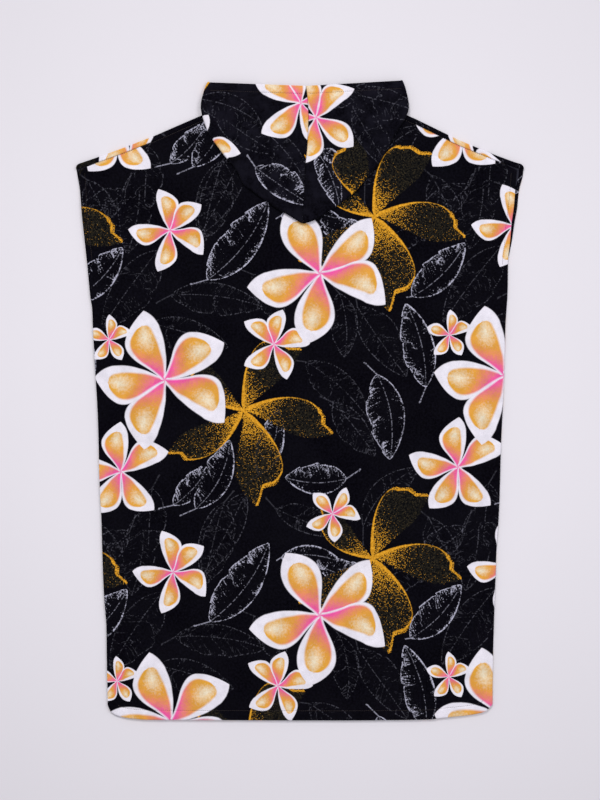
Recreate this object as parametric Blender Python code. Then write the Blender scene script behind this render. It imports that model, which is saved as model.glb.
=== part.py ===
"""Hooded bath poncho in printed velour terry, laid flat with its back up.

Frame: metres, +X to the garment's right as laid, +Y from the bottom hem to the
neck, +Z up from the surface that it lies on. The origin is under the middle of
its outline. Four sewn pieces: front panel (underneath), back panel (on top),
and the two halves of the hood, which is folded down on the back.
Tables are in millimetres.
"""

import math

import bmesh
import bpy
import numpy as np

MM = 0.001

# ---- driving dimensions (mm) -------------------------------------------------
CLOTH = 2.5  # thickness of one layer of velour terry
GAP = 0.3  # between neighbouring pieces
NECK_LEFT, NECK_RIGHT = -124.0, 139.5  # neck points on the shoulder seams
NECK_Y = 541.7
BACK_NECK_DROP = 22.0  # the back neckline's depth below the neck points
FRONT_NECK_DROP = 101.0  # the front neckline's depth
NECK_MID = 9.6  # x of the centre back, where the hood's seam meets it
SHOULDER_ROLL = 9.0  # width of the front that rolls over the shoulder
HEM = 18.0  # bottom hem

FRONT_Z = CLOTH / 2
BACK_Z = FRONT_Z + CLOTH + GAP
NAPE_Z = BACK_Z + CLOTH + GAP
CROWN_Z = 11.6  # middle of the hood's upper layer, a little loose on the nape

# The outline's two sides. Both panels share the sides below the armholes; in the
# armholes the front's edge stands a little further out.
SIDES = (
    # y, left edge of the back, right edge of the back, left and right of the front
    (430.1, -404.0, 397.5, -409.5, 409.5),
    (411.8, -402.6, 396.2, -406.7, 408.2),
    (384.3, -400.4, 394.0, -402.1, 401.2),
    (351.4, -399.3, 391.2, -399.6, 397.6),
    (320.2, -396.4, 386.8, -396.4, 392.1),
    (292.8, -393.3, 384.8, -393.3, 388.4),
    (252.5, -389.0, 380.6, -389.0, 381.1),
    (219.6, -385.8, 380.4, -385.8, 380.4),
    (188.5, -382.9, 379.5, -382.9, 379.5),
    (164.7, -379.3, 377.9, -379.3, 377.9),
    (137.2, -378.4, 376.1, -378.4, 376.1),
    (100.7, -376.5, 375.1, -376.5, 375.1),
    (49.4, -373.8, 373.7, -373.8, 373.7),
    (0.0, -370.6, 371.9, -370.6, 371.9),
    (-54.9, -368.3, 369.2, -368.3, 369.2),
    (-109.8, -367.1, 367.1, -367.1, 367.1),
    (-164.7, -365.5, 365.7, -365.5, 365.7),
    (-214.1, -362.8, 363.6, -362.8, 363.6),
    (-274.5, -361.0, 359.7, -361.0, 359.7),
    (-323.9, -359.4, 357.9, -359.4, 357.9),
    (-367.8, -357.1, 356.2, -357.1, 356.2),
    (-417.2, -353.4, 354.7, -353.4, 354.7),
    (-475.8, -352.7, 353.3, -352.7, 353.3),
    (-530.7, -351.4, 352.6, -351.4, 352.6),
    (-549.0, -351.0, 352.5, -351.0, 352.5),
)

# The shoulder line, from the left armhole to the neck and on to the right one.
SHOULDERS = (
    # x, y
    (-409.5, 430.1),
    (-374.7, 441.9),
    (-328.9, 458.4),
    (-264.9, 483.1),
    (-219.1, 503.2),
    (-182.5, 519.0),
    (NECK_LEFT, NECK_Y),
    (NECK_RIGHT, NECK_Y),
    (196.3, 520.6),
    (210.9, 514.2),
    (293.3, 474.0),
    (361.0, 446.5),
    (393.9, 434.5),
    (409.5, 430.1),
)

# The bottom hem's edge, with its rounded corners.
BOTTOM = (
    # x, y
    (-350.9, -556.0),
    (-343.6, -571.0),
    (-328.9, -578.3),
    (-310.6, -581.9),
    (-274.0, -584.3),
    (-120.0, -585.2),
    (60.0, -585.6),
    (238.4, -583.8),
    (256.7, -581.6),
    (311.6, -575.5),
    (339.0, -569.1),
    (352.2, -556.0),
)

# The hood's centre seam, from its tip to the hem of the face opening.
SEAM = (
    # y, x
    (321.0, 5.9),
    (338.6, 5.9),
    (362.3, 7.0),
    (391.6, 8.2),
    (424.6, 10.0),
    (457.5, 13.4),
    (488.6, 15.2),
    (514.2, 16.0),
    (540.0, 15.0),
    (573.3, 11.4),
)

# Sections through the hood, from the tip up to the face opening. Each runs from
# the centre seam out to the fold at its side, turns under, and ends at the nape
# seam or on a neckline.
HOOD = (
    # seam y, left fold x, y, right fold x, y, end y on the nape seam
    (338.6, 5.1, 321.2, 6.7, 321.2, 338.6),
    (349.5, -14.2, 333.1, 26.1, 327.6, 349.5),
    (362.3, -36.1, 345.9, 46.2, 339.5, 362.3),
    (377.0, -63.6, 364.2, 70.0, 355.9, 377.0),
    (391.6, -87.4, 381.6, 92.0, 371.5, 391.6),
    (408.1, -102.9, 393.4, 108.4, 388.0, 408.1),
    (424.6, -111.2, 411.8, 123.1, 406.3, 424.6),
    (441.0, -124.0, 430.1, 136.8, 422.7, 441.0),
    (457.5, -136.8, 444.7, 149.6, 441.0, 457.5),
    (474.0, -150.5, 463.0, 160.6, 460.2, 474.0),
    (488.6, -162.4, 479.5, 168.8, 475.8, 487.0),
    (501.4, -169.7, 494.1, 177.1, 490.4, 497.5),
    (514.2, -175.2, 509.7, 187.1, 505.1, 507.6),
)
# Where the under layer ends on the back neckline.
HOOD_NAPE = (
    # seam y, left fold x, y, right fold x, y, share of the way to the neck point
    (521.5, -178.0, 519.0, 193.4, 515.5, 0.34),
    (528.0, -179.5, 525.0, 196.6, 522.5, 0.68),
    (533.0, -180.4, 530.0, 198.4, 529.0, 0.90),
)
# Past the shoulder seam the under layer drops from the back panel to the surface.
# Distances are from the neck point, inwards and up.
HOOD_DROP = (
    # seam y, left fold x, y, right fold x, y, height, middle, corner and end
    (537.1, -180.7, 534.0, 199.0, 534.0, 6.85, -2.5, 2.6, 6.2, 4.4, 6.9, -2.0),
    (542.6, -180.5, 540.8, 199.0, 541.2, 4.05, -2.5, 4.2, 6.5, 5.0, 6.9, -2.0),
    (548.0, -179.8, 547.0, 198.3, 547.4, 1.25, -2.5, 4.8, 6.6, 5.2, 6.9, -2.0),
)
# Beyond it the under layer is the throat, which turns round the neck point and
# ends on the front neckline.
THROAT = (
    # seam y, left fold x, y, right fold x, y, share of the way to the centre front,
    # and the middle and the corner as above
    (552.8, -178.5, 552.8, 197.3, 552.8, 0.12, 2.0, 7.4, 9.5, 6.0),
    (556.6, -177.3, 557.3, 196.4, 557.8, 0.27, 3.0, 8.6, 12.0, 7.2),
    (560.6, -175.8, 562.4, 195.0, 563.2, 0.43, 5.0, 10.2, 17.0, 8.6),
    (564.4, -174.2, 567.6, 193.6, 568.8, 0.60, 8.0, 11.8, 23.5, 10.1),
    (568.6, -172.2, 573.8, 191.4, 576.0, 0.79, 12.0, 14.0, 30.5, 12.0),
    (573.3, -167.8, 581.9, 187.4, 584.9, 1.00, 18.0, 17.5, 39.0, 15.3),
)

TOP_SPANS, FOLD_SPANS, UNDER_SPANS = 8, 6, (4, 2, 2)  # of each hood section


# ---- curves ------------------------------------------------------------------
def through(xs, ys):
    """A smooth function through points, with no overshoot between them."""
    xs, ys = np.asarray(xs, float), np.asarray(ys, float)
    h, d = np.diff(xs), np.diff(ys) / np.diff(xs)
    m = np.empty_like(xs)
    m[0], m[-1] = d[0], d[-1]
    for i in range(1, len(xs) - 1):
        if d[i - 1] * d[i] <= 0:
            m[i] = 0.0
        else:
            a, b = 2 * h[i] + h[i - 1], h[i] + 2 * h[i - 1]
            m[i] = (a + b) / (a / d[i - 1] + b / d[i])

    def at(x):
        i = int(np.clip(np.searchsorted(xs, x) - 1, 0, len(xs) - 2))
        t = (x - xs[i]) / h[i]
        if t <= 0 or t >= 1:
            t = min(max(t, 0.0), 1.0)
        t2, t3 = t * t, t * t * t
        return float(
            (2 * t3 - 3 * t2 + 1) * ys[i]
            + (t3 - 2 * t2 + t) * h[i] * m[i]
            + (3 * t2 - 2 * t3) * ys[i + 1]
            + (t3 - t2) * h[i] * m[i + 1]
        )

    return at


def straight(xs, ys):
    return lambda x: float(np.interp(x, xs, ys))


def column(table, n, order=1):
    return [row[n] for row in table][::order]


LEVELS = column(SIDES, 0, -1)
BACK_LEFT, BACK_RIGHT = (straight(LEVELS, column(SIDES, n, -1)) for n in (1, 2))
FRONT_LEFT, FRONT_RIGHT = (straight(LEVELS, column(SIDES, n, -1)) for n in (3, 4))
SHOULDER = straight(column(SHOULDERS, 0), column(SHOULDERS, 1))
HEMLINE = through(column(BOTTOM, 0), column(BOTTOM, 1))
SEAM_X = through(column(SEAM, 0), column(SEAM, 1))


def slope(x):
    """1 over the cosine of the shoulder's slope at x, so that widths stay true."""
    rise = (SHOULDER(x + 4) - SHOULDER(x - 4)) / 8
    return math.hypot(1.0, rise)


def neckline(x, drop, top):
    """A neckline's y at x: an arc between the neck points, drop deep."""
    half = (
        (x - NECK_MID) / (NECK_RIGHT - NECK_MID)
        if x > NECK_MID
        else (NECK_MID - x) / (NECK_MID - NECK_LEFT)
    )
    return top - drop * max(0.0, 1.0 - abs(half) ** 2.4) ** 0.55


def back_top(x):
    """The back panel's upper edge: shoulder seam, neckline, shoulder seam."""
    inset = (SHOULDER_ROLL + GAP) * slope(x)
    if NECK_LEFT < x < NECK_RIGHT:
        return neckline(x, BACK_NECK_DROP, NECK_Y - (SHOULDER_ROLL + GAP))
    return SHOULDER(x) - inset


ROLL = (BACK_Z - FRONT_Z) / 2  # radius of the fold at the shoulder
ROLL_OUT = ROLL + CLOTH / 2


def front_top(x):
    """The front panel's flat part ends here, where it rolls over the shoulder."""
    if NECK_LEFT < x < NECK_RIGHT:
        return neckline(x, FRONT_NECK_DROP, NECK_Y - ROLL_OUT)
    return SHOULDER(x) - ROLL_OUT * (slope(x) if abs(x) < 400 else 1.0)


# ---- meshes ------------------------------------------------------------------
def cloth(name, points, faces, colour):
    """A closed wall, CLOTH thick, round a mesh of middle points (in mm)."""
    mesh = bpy.data.meshes.new(name)
    work = bmesh.new()
    corners = [work.verts.new([c * MM for c in p]) for p in points]
    for face in faces:
        work.faces.new([corners[i] for i in face])
    work.normal_update()
    work.to_mesh(mesh)
    work.free()
    obj = bpy.data.objects.new(name, mesh)
    bpy.context.scene.collection.objects.link(obj)
    wall = obj.modifiers.new("Wall", "SOLIDIFY")
    wall.thickness = CLOTH * MM
    wall.offset = 0.0
    wall.use_quality_normals = True
    wall.use_rim = True
    material = bpy.data.materials.new(name)
    material.use_nodes = True
    shader = material.node_tree.nodes["Principled BSDF"]
    shader.inputs["Base Color"].default_value = (*colour, 1.0)
    shader.inputs["Roughness"].default_value = 0.95
    shader.inputs["Metallic"].default_value = 0.0
    mesh.materials.append(material)
    mesh.shade_smooth()
    mesh.set_sharp_from_angle(angle=math.radians(50))
    return obj


def net(rows):
    """Points and quads of a grid given as rows of equal length, faces up."""
    wide = len(rows[0])
    points = [p for row in rows for p in row]
    faces = [
        (r * wide + c, r * wide + c + 1, (r + 1) * wide + c + 1, (r + 1) * wide + c)
        for r in range(len(rows) - 1)
        for c in range(wide - 1)
    ]
    return points, faces


# Where the panels' columns stand on the top edge. Neck columns match the
# sections of the hood's throat.
NECK_SHARES = [0.0] + column(THROAT, 5)


def neck_x(side, share):
    """x on the front neckline, share of the way from a neck point to the centre."""
    start = NECK_LEFT + ROLL_OUT if side < 0 else NECK_RIGHT - ROLL_OUT
    turn = 1.0 - math.cos(share * math.pi / 2)
    bend = 0.35 * share + 0.65 * turn
    return start + (NECK_MID - start) * bend


def top_columns():
    left = [-409.5, -392.0, -374.7, -328.9, -297.0, -264.9, -219.1, -182.5, -150.0]
    right = [165.0, 196.3, 210.9, 252.0, 293.3, 327.0, 361.0, 385.0, 397.0, 409.5]
    neck = [NECK_LEFT] + [neck_x(-1, s) for s in NECK_SHARES]
    neck += [neck_x(1, s) for s in NECK_SHARES[::-1][1:]] + [NECK_RIGHT]
    return left + neck + right


def panel_rows(left, right, top, rows):
    """Rows of (x, y) from the hem to the top edge. Each column keeps its share of
    the width, and spreads its points evenly between the hem and the top edge."""
    xs = top_columns()
    y_side = SIDES[0][0]
    shares = []
    for x in xs:
        y = min(top(x), y_side)
        shares.append((x - xs[0]) / (xs[-1] - xs[0]))
    out = []
    for v in rows:
        row = []
        for x_top, share in zip(xs, shares):
            y_top = top(x_top)
            y_low = HEMLINE(
                left(SIDES[-1][0]) + share * (right(SIDES[-1][0]) - left(SIDES[-1][0]))
            )
            y = y_low + v * (y_top - y_low)
            low, high = left(y), right(y)
            x = low + share * (high - low)
            # Towards the top the columns come to stand at their own places.
            near = max(0.0, (v - 0.8) / 0.2) ** 2
            inner = 4 * share * (1 - share)
            x += (x_top - x) * near * min(1.0, inner * 6)
            row.append((x, y))
        out.append(row)
    return out


ROWS = [0.0, 0.016, 0.05, 0.10] + [0.10 + 0.05 * i for i in range(1, 17)] + [0.94, 0.97, 1.0]


def back_panel():
    rows = panel_rows(BACK_LEFT, BACK_RIGHT, back_top, ROWS)
    points, faces = net([[(x, y, BACK_Z) for x, y in row] for row in rows])
    return cloth("back_panel", points, faces, (0.012, 0.012, 0.022))


def front_panel():
    rows = panel_rows(FRONT_LEFT, FRONT_RIGHT, front_top, ROWS)
    grid = [[(x, y, FRONT_Z) for x, y in row] for row in rows]
    points, faces = net(grid)
    wide = len(grid[0])
    xs = top_columns()
    # The shoulders roll over on to the back: a half turn, then a flat strip.
    for part in (
        range(0, xs.index(NECK_LEFT) + 1),
        range(xs.index(NECK_RIGHT), wide),
    ):
        before = [(len(grid) - 1) * wide + c for c in part]
        steps = [("turn", math.pi * i / 6) for i in range(1, 7)] + [("flat", 1.0)]
        for kind, amount in steps:
            row = []
            for c in part:
                x, y, z = grid[-1][c]
                stretch = slope(xs[c]) if abs(xs[c]) < 400 else 1.0
                if kind == "turn":
                    y += ROLL * stretch * math.sin(amount)
                    z += ROLL * (1 - math.cos(amount))
                else:
                    y -= (SHOULDER_ROLL - ROLL_OUT) * stretch
                    z = BACK_Z
                row.append((x, y, z))
            first = len(points)
            points += row
            after = list(range(first, first + len(row)))
            faces += [
                (before[i], before[i + 1], after[i + 1], after[i])
                for i in range(len(part) - 1)
            ]
            before = after
    return cloth("front_panel", points, faces, (0.014, 0.013, 0.024))


def along(a, b, share):
    return tuple(p + (q - p) * share for p, q in zip(a, b))


def hood_sections(side):
    """The hood half's sections: (seam point, fold point, height of the under layer,
    and the middle, the corner and the end of the under layer)."""
    apart = side * GAP / 2
    fold = 1 if side < 0 else 3
    neck = NECK_LEFT if side < 0 else NECK_RIGHT
    sections = []

    def add(row, height, middle, corner, end):
        seam = (SEAM_X(row[0]) + apart * (1 if sections else 4), row[0])
        place = (row[fold], row[fold + 1])
        sections.append((seam, place, height, middle, corner, end))

    def from_neck(inwards, up):
        return (neck - side * inwards, NECK_Y + up)

    for row in HOOD:
        x = SEAM_X(row[5]) + apart * (1 if sections else 4)
        add(row, NAPE_Z, None, None, (x, row[5]))
    for row in HOOD_NAPE:
        x = NECK_MID + (neck - NECK_MID) * row[5]
        add(row, NAPE_Z, None, None, (x, back_top(x) + 0.5))
    for row in HOOD_DROP:
        add(row, row[5], *(from_neck(*row[k : k + 2]) for k in (6, 8, 10)))
    for row in THROAT:
        x = neck_x(side, row[5]) + (apart if row[5] == 1.0 else 0.0)
        end = (x, front_top(x) + GAP)
        add(row, FRONT_Z, *(from_neck(*row[k : k + 2]) for k in (6, 8)), end)
    return sections


def hood_half(name, side, colour):
    sections = hood_sections(side)
    folds = np.array([s[1] for s in sections])
    tangent = np.gradient(folds, axis=0)
    tangent[0] = (side * 1.0, 0.0)
    rows = []
    count = len(sections)
    for i, (seam, fold, under, middle, corner, end) in enumerate(sections):
        # Outwards, square to the outline of the hood.
        t = tangent[i] / np.hypot(*tangent[i])
        out = np.array([t[1] * side, -t[0] * side])
        high = i / (count - 1)
        lift = through([0, 0.62, 0.8, 1.0], [CROWN_Z, CROWN_Z, 10.2, 7.0])(high)
        radius = (lift - under) / 2
        level = (lift + under) / 2
        turn = np.array(fold) - out * (radius + CLOTH / 2)
        row = []
        for k in range(TOP_SPANS):
            x, y = along(seam, turn, k / TOP_SPANS)
            row.append((x, y, lift))
        for k in range(FOLD_SPANS + 1):
            angle = math.pi * k / FOLD_SPANS
            x, y = turn + out * radius * math.sin(angle)
            row.append((x, y, level + radius * math.cos(angle)))
        middle = middle or along(turn, end, 0.55)
        corner = corner or along(turn, end, 0.80)
        stops = (turn, middle, corner, end)
        for a, b, spans in zip(stops, stops[1:], UNDER_SPANS):
            for k in range(1, spans + 1):
                row.append((*along(a, b, k / spans), under))
        rows.append(row if side > 0 else row[::-1])
    points, faces = net(rows)
    # The grid runs over the crown and back underneath, so its faces point out of
    # the hood when the rows are read the other way round.
    faces = [face[::-1] for face in faces]
    return cloth(name, points, faces, colour)


def main():
    for obj in list(bpy.data.objects):
        bpy.data.objects.remove(obj, do_unlink=True)
    front_panel()
    back_panel()
    hood_half("hood_left", -1, (0.016, 0.014, 0.026))
    hood_half("hood_right", 1, (0.013, 0.013, 0.024))


main()
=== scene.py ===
"""Looks of the hooded bath poncho: printed velour terry, laid flat with its back up.

Row frame: metres, +X right, +Y from the bottom hem to the neck, +Z up. The tables
are in millimetres, as in the part's own source, except for the print, which is
laid out in chart units of 1.83 mm with v running down the cloth.
"""

import math

import bpy
import numpy as np
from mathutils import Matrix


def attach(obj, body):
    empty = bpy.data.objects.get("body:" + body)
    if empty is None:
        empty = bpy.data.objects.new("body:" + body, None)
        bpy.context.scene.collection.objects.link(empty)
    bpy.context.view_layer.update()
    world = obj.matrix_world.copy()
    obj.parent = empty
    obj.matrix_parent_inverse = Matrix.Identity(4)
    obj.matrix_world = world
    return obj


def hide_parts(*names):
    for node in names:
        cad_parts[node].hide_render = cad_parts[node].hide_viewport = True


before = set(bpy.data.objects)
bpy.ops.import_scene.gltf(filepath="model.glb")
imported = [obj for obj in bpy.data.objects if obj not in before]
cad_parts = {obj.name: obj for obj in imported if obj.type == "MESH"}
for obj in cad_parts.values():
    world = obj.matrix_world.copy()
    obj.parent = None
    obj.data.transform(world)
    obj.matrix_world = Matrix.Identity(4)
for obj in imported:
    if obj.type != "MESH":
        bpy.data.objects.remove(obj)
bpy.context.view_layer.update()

MM = 0.001

# =============================================================================
# The garment's cut, as in the frame
# =============================================================================
CLOTH = 2.5
GAP = 0.3
NECK_LEFT, NECK_RIGHT = -124.0, 139.5
NECK_Y = 541.7
BACK_NECK_DROP = 22.0
FRONT_NECK_DROP = 101.0
NECK_MID = 9.6
SHOULDER_ROLL = 9.0
HEM = 18.0  # bottom hem, from its edge to the stitching
ARM_HEM = 10.0
FACE_HEM = 15.0

FRONT_Z = CLOTH / 2
BACK_Z = FRONT_Z + CLOTH + GAP
NAPE_Z = BACK_Z + CLOTH + GAP
CROWN_Z = 11.6

SIDES = (
    # y, left edge of the back, right edge of the back, left and right of the front
    (430.1, -404.0, 397.5, -409.5, 409.5),
    (411.8, -402.6, 396.2, -406.7, 408.2),
    (384.3, -400.4, 394.0, -402.1, 401.2),
    (351.4, -399.3, 391.2, -399.6, 397.6),
    (320.2, -396.4, 386.8, -396.4, 392.1),
    (292.8, -393.3, 384.8, -393.3, 388.4),
    (252.5, -389.0, 380.6, -389.0, 381.1),
    (219.6, -385.8, 380.4, -385.8, 380.4),
    (188.5, -382.9, 379.5, -382.9, 379.5),
    (164.7, -379.3, 377.9, -379.3, 377.9),
    (137.2, -378.4, 376.1, -378.4, 376.1),
    (100.7, -376.5, 375.1, -376.5, 375.1),
    (49.4, -373.8, 373.7, -373.8, 373.7),
    (0.0, -370.6, 371.9, -370.6, 371.9),
    (-54.9, -368.3, 369.2, -368.3, 369.2),
    (-109.8, -367.1, 367.1, -367.1, 367.1),
    (-164.7, -365.5, 365.7, -365.5, 365.7),
    (-214.1, -362.8, 363.6, -362.8, 363.6),
    (-274.5, -361.0, 359.7, -361.0, 359.7),
    (-323.9, -359.4, 357.9, -359.4, 357.9),
    (-367.8, -357.1, 356.2, -357.1, 356.2),
    (-417.2, -353.4, 354.7, -353.4, 354.7),
    (-475.8, -352.7, 353.3, -352.7, 353.3),
    (-530.7, -351.4, 352.6, -351.4, 352.6),
    (-549.0, -351.0, 352.5, -351.0, 352.5),
)
SHOULDERS = (
    # x, y
    (-409.5, 430.1),
    (-374.7, 441.9),
    (-328.9, 458.4),
    (-264.9, 483.1),
    (-219.1, 503.2),
    (-182.5, 519.0),
    (NECK_LEFT, NECK_Y),
    (NECK_RIGHT, NECK_Y),
    (196.3, 520.6),
    (210.9, 514.2),
    (293.3, 474.0),
    (361.0, 446.5),
    (393.9, 434.5),
    (409.5, 430.1),
)
BOTTOM = (
    # x, y
    (-350.9, -556.0),
    (-343.6, -571.0),
    (-328.9, -578.3),
    (-310.6, -581.9),
    (-274.0, -584.3),
    (-120.0, -585.2),
    (60.0, -585.6),
    (238.4, -583.8),
    (256.7, -581.6),
    (311.6, -575.5),
    (339.0, -569.1),
    (352.2, -556.0),
)
SEAM = (
    # y, x
    (321.0, 5.9),
    (338.6, 5.9),
    (362.3, 7.0),
    (391.6, 8.2),
    (424.6, 10.0),
    (457.5, 13.4),
    (488.6, 15.2),
    (514.2, 16.0),
    (540.0, 15.0),
    (573.3, 11.4),
)
HOOD = (
    # seam y, left fold x, y, right fold x, y, end y on the nape seam
    (338.6, 5.1, 321.2, 6.7, 321.2, 338.6),
    (349.5, -14.2, 333.1, 26.1, 327.6, 349.5),
    (362.3, -36.1, 345.9, 46.2, 339.5, 362.3),
    (377.0, -63.6, 364.2, 70.0, 355.9, 377.0),
    (391.6, -87.4, 381.6, 92.0, 371.5, 391.6),
    (408.1, -102.9, 393.4, 108.4, 388.0, 408.1),
    (424.6, -111.2, 411.8, 123.1, 406.3, 424.6),
    (441.0, -124.0, 430.1, 136.8, 422.7, 441.0),
    (457.5, -136.8, 444.7, 149.6, 441.0, 457.5),
    (474.0, -150.5, 463.0, 160.6, 460.2, 474.0),
    (488.6, -162.4, 479.5, 168.8, 475.8, 487.0),
    (501.4, -169.7, 494.1, 177.1, 490.4, 497.5),
    (514.2, -175.2, 509.7, 187.1, 505.1, 507.6),
)
HOOD_NAPE = (
    # seam y, left fold x, y, right fold x, y, share of the way to the neck point
    (521.5, -178.0, 519.0, 193.4, 515.5, 0.34),
    (528.0, -179.5, 525.0, 196.6, 522.5, 0.68),
    (533.0, -180.4, 530.0, 198.4, 529.0, 0.90),
)
HOOD_DROP = (
    # seam y, left fold x, y, right fold x, y, height, middle, corner and end
    (537.1, -180.7, 534.0, 199.0, 534.0, 6.85, -2.5, 2.6, 6.2, 4.4, 6.9, -2.0),
    (542.6, -180.5, 540.8, 199.0, 541.2, 4.05, -2.5, 4.2, 6.5, 5.0, 6.9, -2.0),
    (548.0, -179.8, 547.0, 198.3, 547.4, 1.25, -2.5, 4.8, 6.6, 5.2, 6.9, -2.0),
)
THROAT = (
    # seam y, left fold x, y, right fold x, y, share of the way to the centre front,
    # and the middle and the corner as above
    (552.8, -178.5, 552.8, 197.3, 552.8, 0.12, 2.0, 7.4, 9.5, 6.0),
    (556.6, -177.3, 557.3, 196.4, 557.8, 0.27, 3.0, 8.6, 12.0, 7.2),
    (560.6, -175.8, 562.4, 195.0, 563.2, 0.43, 5.0, 10.2, 17.0, 8.6),
    (564.4, -174.2, 567.6, 193.6, 568.8, 0.60, 8.0, 11.8, 23.5, 10.1),
    (568.6, -172.2, 573.8, 191.4, 576.0, 0.79, 12.0, 14.0, 30.5, 12.0),
    (573.3, -167.8, 581.9, 187.4, 584.9, 1.00, 18.0, 17.5, 39.0, 15.3),
)


# =============================================================================
# Curves and small helpers
# =============================================================================
def through(xs, ys):
    """A smooth function through points, with no overshoot between them."""
    xs, ys = np.asarray(xs, float), np.asarray(ys, float)
    h, d = np.diff(xs), np.diff(ys) / np.diff(xs)
    m = np.empty_like(xs)
    m[0], m[-1] = d[0], d[-1]
    for i in range(1, len(xs) - 1):
        if d[i - 1] * d[i] <= 0:
            m[i] = 0.0
        else:
            a, b = 2 * h[i] + h[i - 1], h[i] + 2 * h[i - 1]
            m[i] = (a + b) / (a / d[i - 1] + b / d[i])

    def at(x):
        x = np.asarray(x, float)
        i = np.clip(np.searchsorted(xs, x) - 1, 0, len(xs) - 2)
        t = np.clip((x - xs[i]) / h[i], 0.0, 1.0)
        t2, t3 = t * t, t * t * t
        return (
            (2 * t3 - 3 * t2 + 1) * ys[i]
            + (t3 - 2 * t2 + t) * h[i] * m[i]
            + (3 * t2 - 2 * t3) * ys[i + 1]
            + (t3 - t2) * h[i] * m[i + 1]
        )

    return at


def straight(xs, ys):
    return lambda x: np.interp(x, xs, ys)


def column(table, n, order=1):
    return [row[n] for row in table][::order]


def ease(x, low, high):
    """0 below low, 1 above high, smooth between."""
    t = np.clip((np.asarray(x, float) - low) / (high - low), 0.0, 1.0)
    return t * t * (3 - 2 * t)


LEVELS = column(SIDES, 0, -1)
BACK_LEFT, BACK_RIGHT = (through(LEVELS, column(SIDES, n, -1)) for n in (1, 2))
FRONT_LEFT, FRONT_RIGHT = (through(LEVELS, column(SIDES, n, -1)) for n in (3, 4))
SHOULDER = straight(column(SHOULDERS, 0), column(SHOULDERS, 1))
HEMLINE = through(column(BOTTOM, 0), column(BOTTOM, 1))
SEAM_X = through(column(SEAM, 0), column(SEAM, 1))


def slope(x):
    rise = (SHOULDER(x + 4) - SHOULDER(x - 4)) / 8
    return np.hypot(1.0, rise)


def neckline(x, drop, top):
    half = np.where(
        x > NECK_MID,
        (x - NECK_MID) / (NECK_RIGHT - NECK_MID),
        (NECK_MID - x) / (NECK_MID - NECK_LEFT),
    )
    return top - drop * np.maximum(0.0, 1.0 - np.abs(half) ** 2.4) ** 0.55


def back_top(x):
    inset = (SHOULDER_ROLL + GAP) * slope(x)
    inside = (x > NECK_LEFT) & (x < NECK_RIGHT)
    return np.where(
        inside,
        neckline(x, BACK_NECK_DROP, NECK_Y - (SHOULDER_ROLL + GAP)),
        SHOULDER(x) - inset,
    )


ROLL = (BACK_Z - FRONT_Z) / 2
ROLL_OUT = ROLL + CLOTH / 2


def front_top(x):
    inside = (x > NECK_LEFT) & (x < NECK_RIGHT)
    return np.where(
        inside,
        neckline(x, FRONT_NECK_DROP, NECK_Y - ROLL_OUT),
        SHOULDER(x) - ROLL_OUT * np.where(np.abs(x) < 400, slope(x), 1.0),
    )


NECK_SHARES = [0.0] + column(THROAT, 5)


def neck_x(side, share):
    start = NECK_LEFT + ROLL_OUT if side < 0 else NECK_RIGHT - ROLL_OUT
    turn = 1.0 - math.cos(share * math.pi / 2)
    bend = 0.35 * share + 0.65 * turn
    return start + (NECK_MID - start) * bend


def spaced(low, high, step, fine=(0.0, 0.35, 0.9, 1.7, 2.8, 4.3, 6.2, 8.4, 11.0, 14.2, 18.0)):
    """Stations from low to high, step apart, with fine ones at both ends."""
    inner = np.linspace(low + fine[-1], high - fine[-1], max(2, round((high - low) / step)))
    head = [low + f for f in fine[:-1]]
    tail = [high - f for f in fine[:-1]][::-1]
    return np.array(head + list(inner) + tail)


# =============================================================================
# Surface relief: soft troughs and ridges, in millimetres
# =============================================================================
def distance_to_path(x, y, path):
    """Distance from points to a polyline, and the share of its length there."""
    path = np.asarray(path, float)
    lengths = np.hypot(*np.diff(path, axis=0).T)
    starts = np.concatenate([[0.0], np.cumsum(lengths)])
    best = np.full(np.shape(x), 1e9)
    share = np.zeros(np.shape(x))
    for k in range(len(path) - 1):
        ax, ay = path[k]
        bx, by = path[k + 1]
        dx, dy = bx - ax, by - ay
        t = np.clip(((x - ax) * dx + (y - ay) * dy) / (dx * dx + dy * dy), 0, 1)
        d = np.hypot(x - ax - t * dx, y - ay - t * dy)
        nearer = d < best
        best = np.where(nearer, d, best)
        share = np.where(nearer, (starts[k] + t * lengths[k]) / starts[-1], share)
    return best, share


def crease(x, y, path, width, height):
    """A soft ridge (or trough, if height is negative) along a smoothed path."""
    path = np.asarray(path, float)
    t = np.linspace(0, 1, len(path))
    dense = np.linspace(0, 1, 24)
    smooth = np.stack([through(t, path[:, 0])(dense), through(t, path[:, 1])(dense)], 1)
    d, share = distance_to_path(x, y, smooth)
    taper = np.sin(np.pi * np.clip(share, 0.0, 1.0)) ** 0.6
    taper = np.where((share <= 0.0) | (share >= 1.0), 0.0, taper)
    return height * np.exp(-((d / width) ** 2)) * np.clip(taper, 0.0, 1.0)


def chart_to_mm(points):
    return [((u - 299.75) * 1.83, (400.0 - v) * 1.83) for u, v in points]


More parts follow.
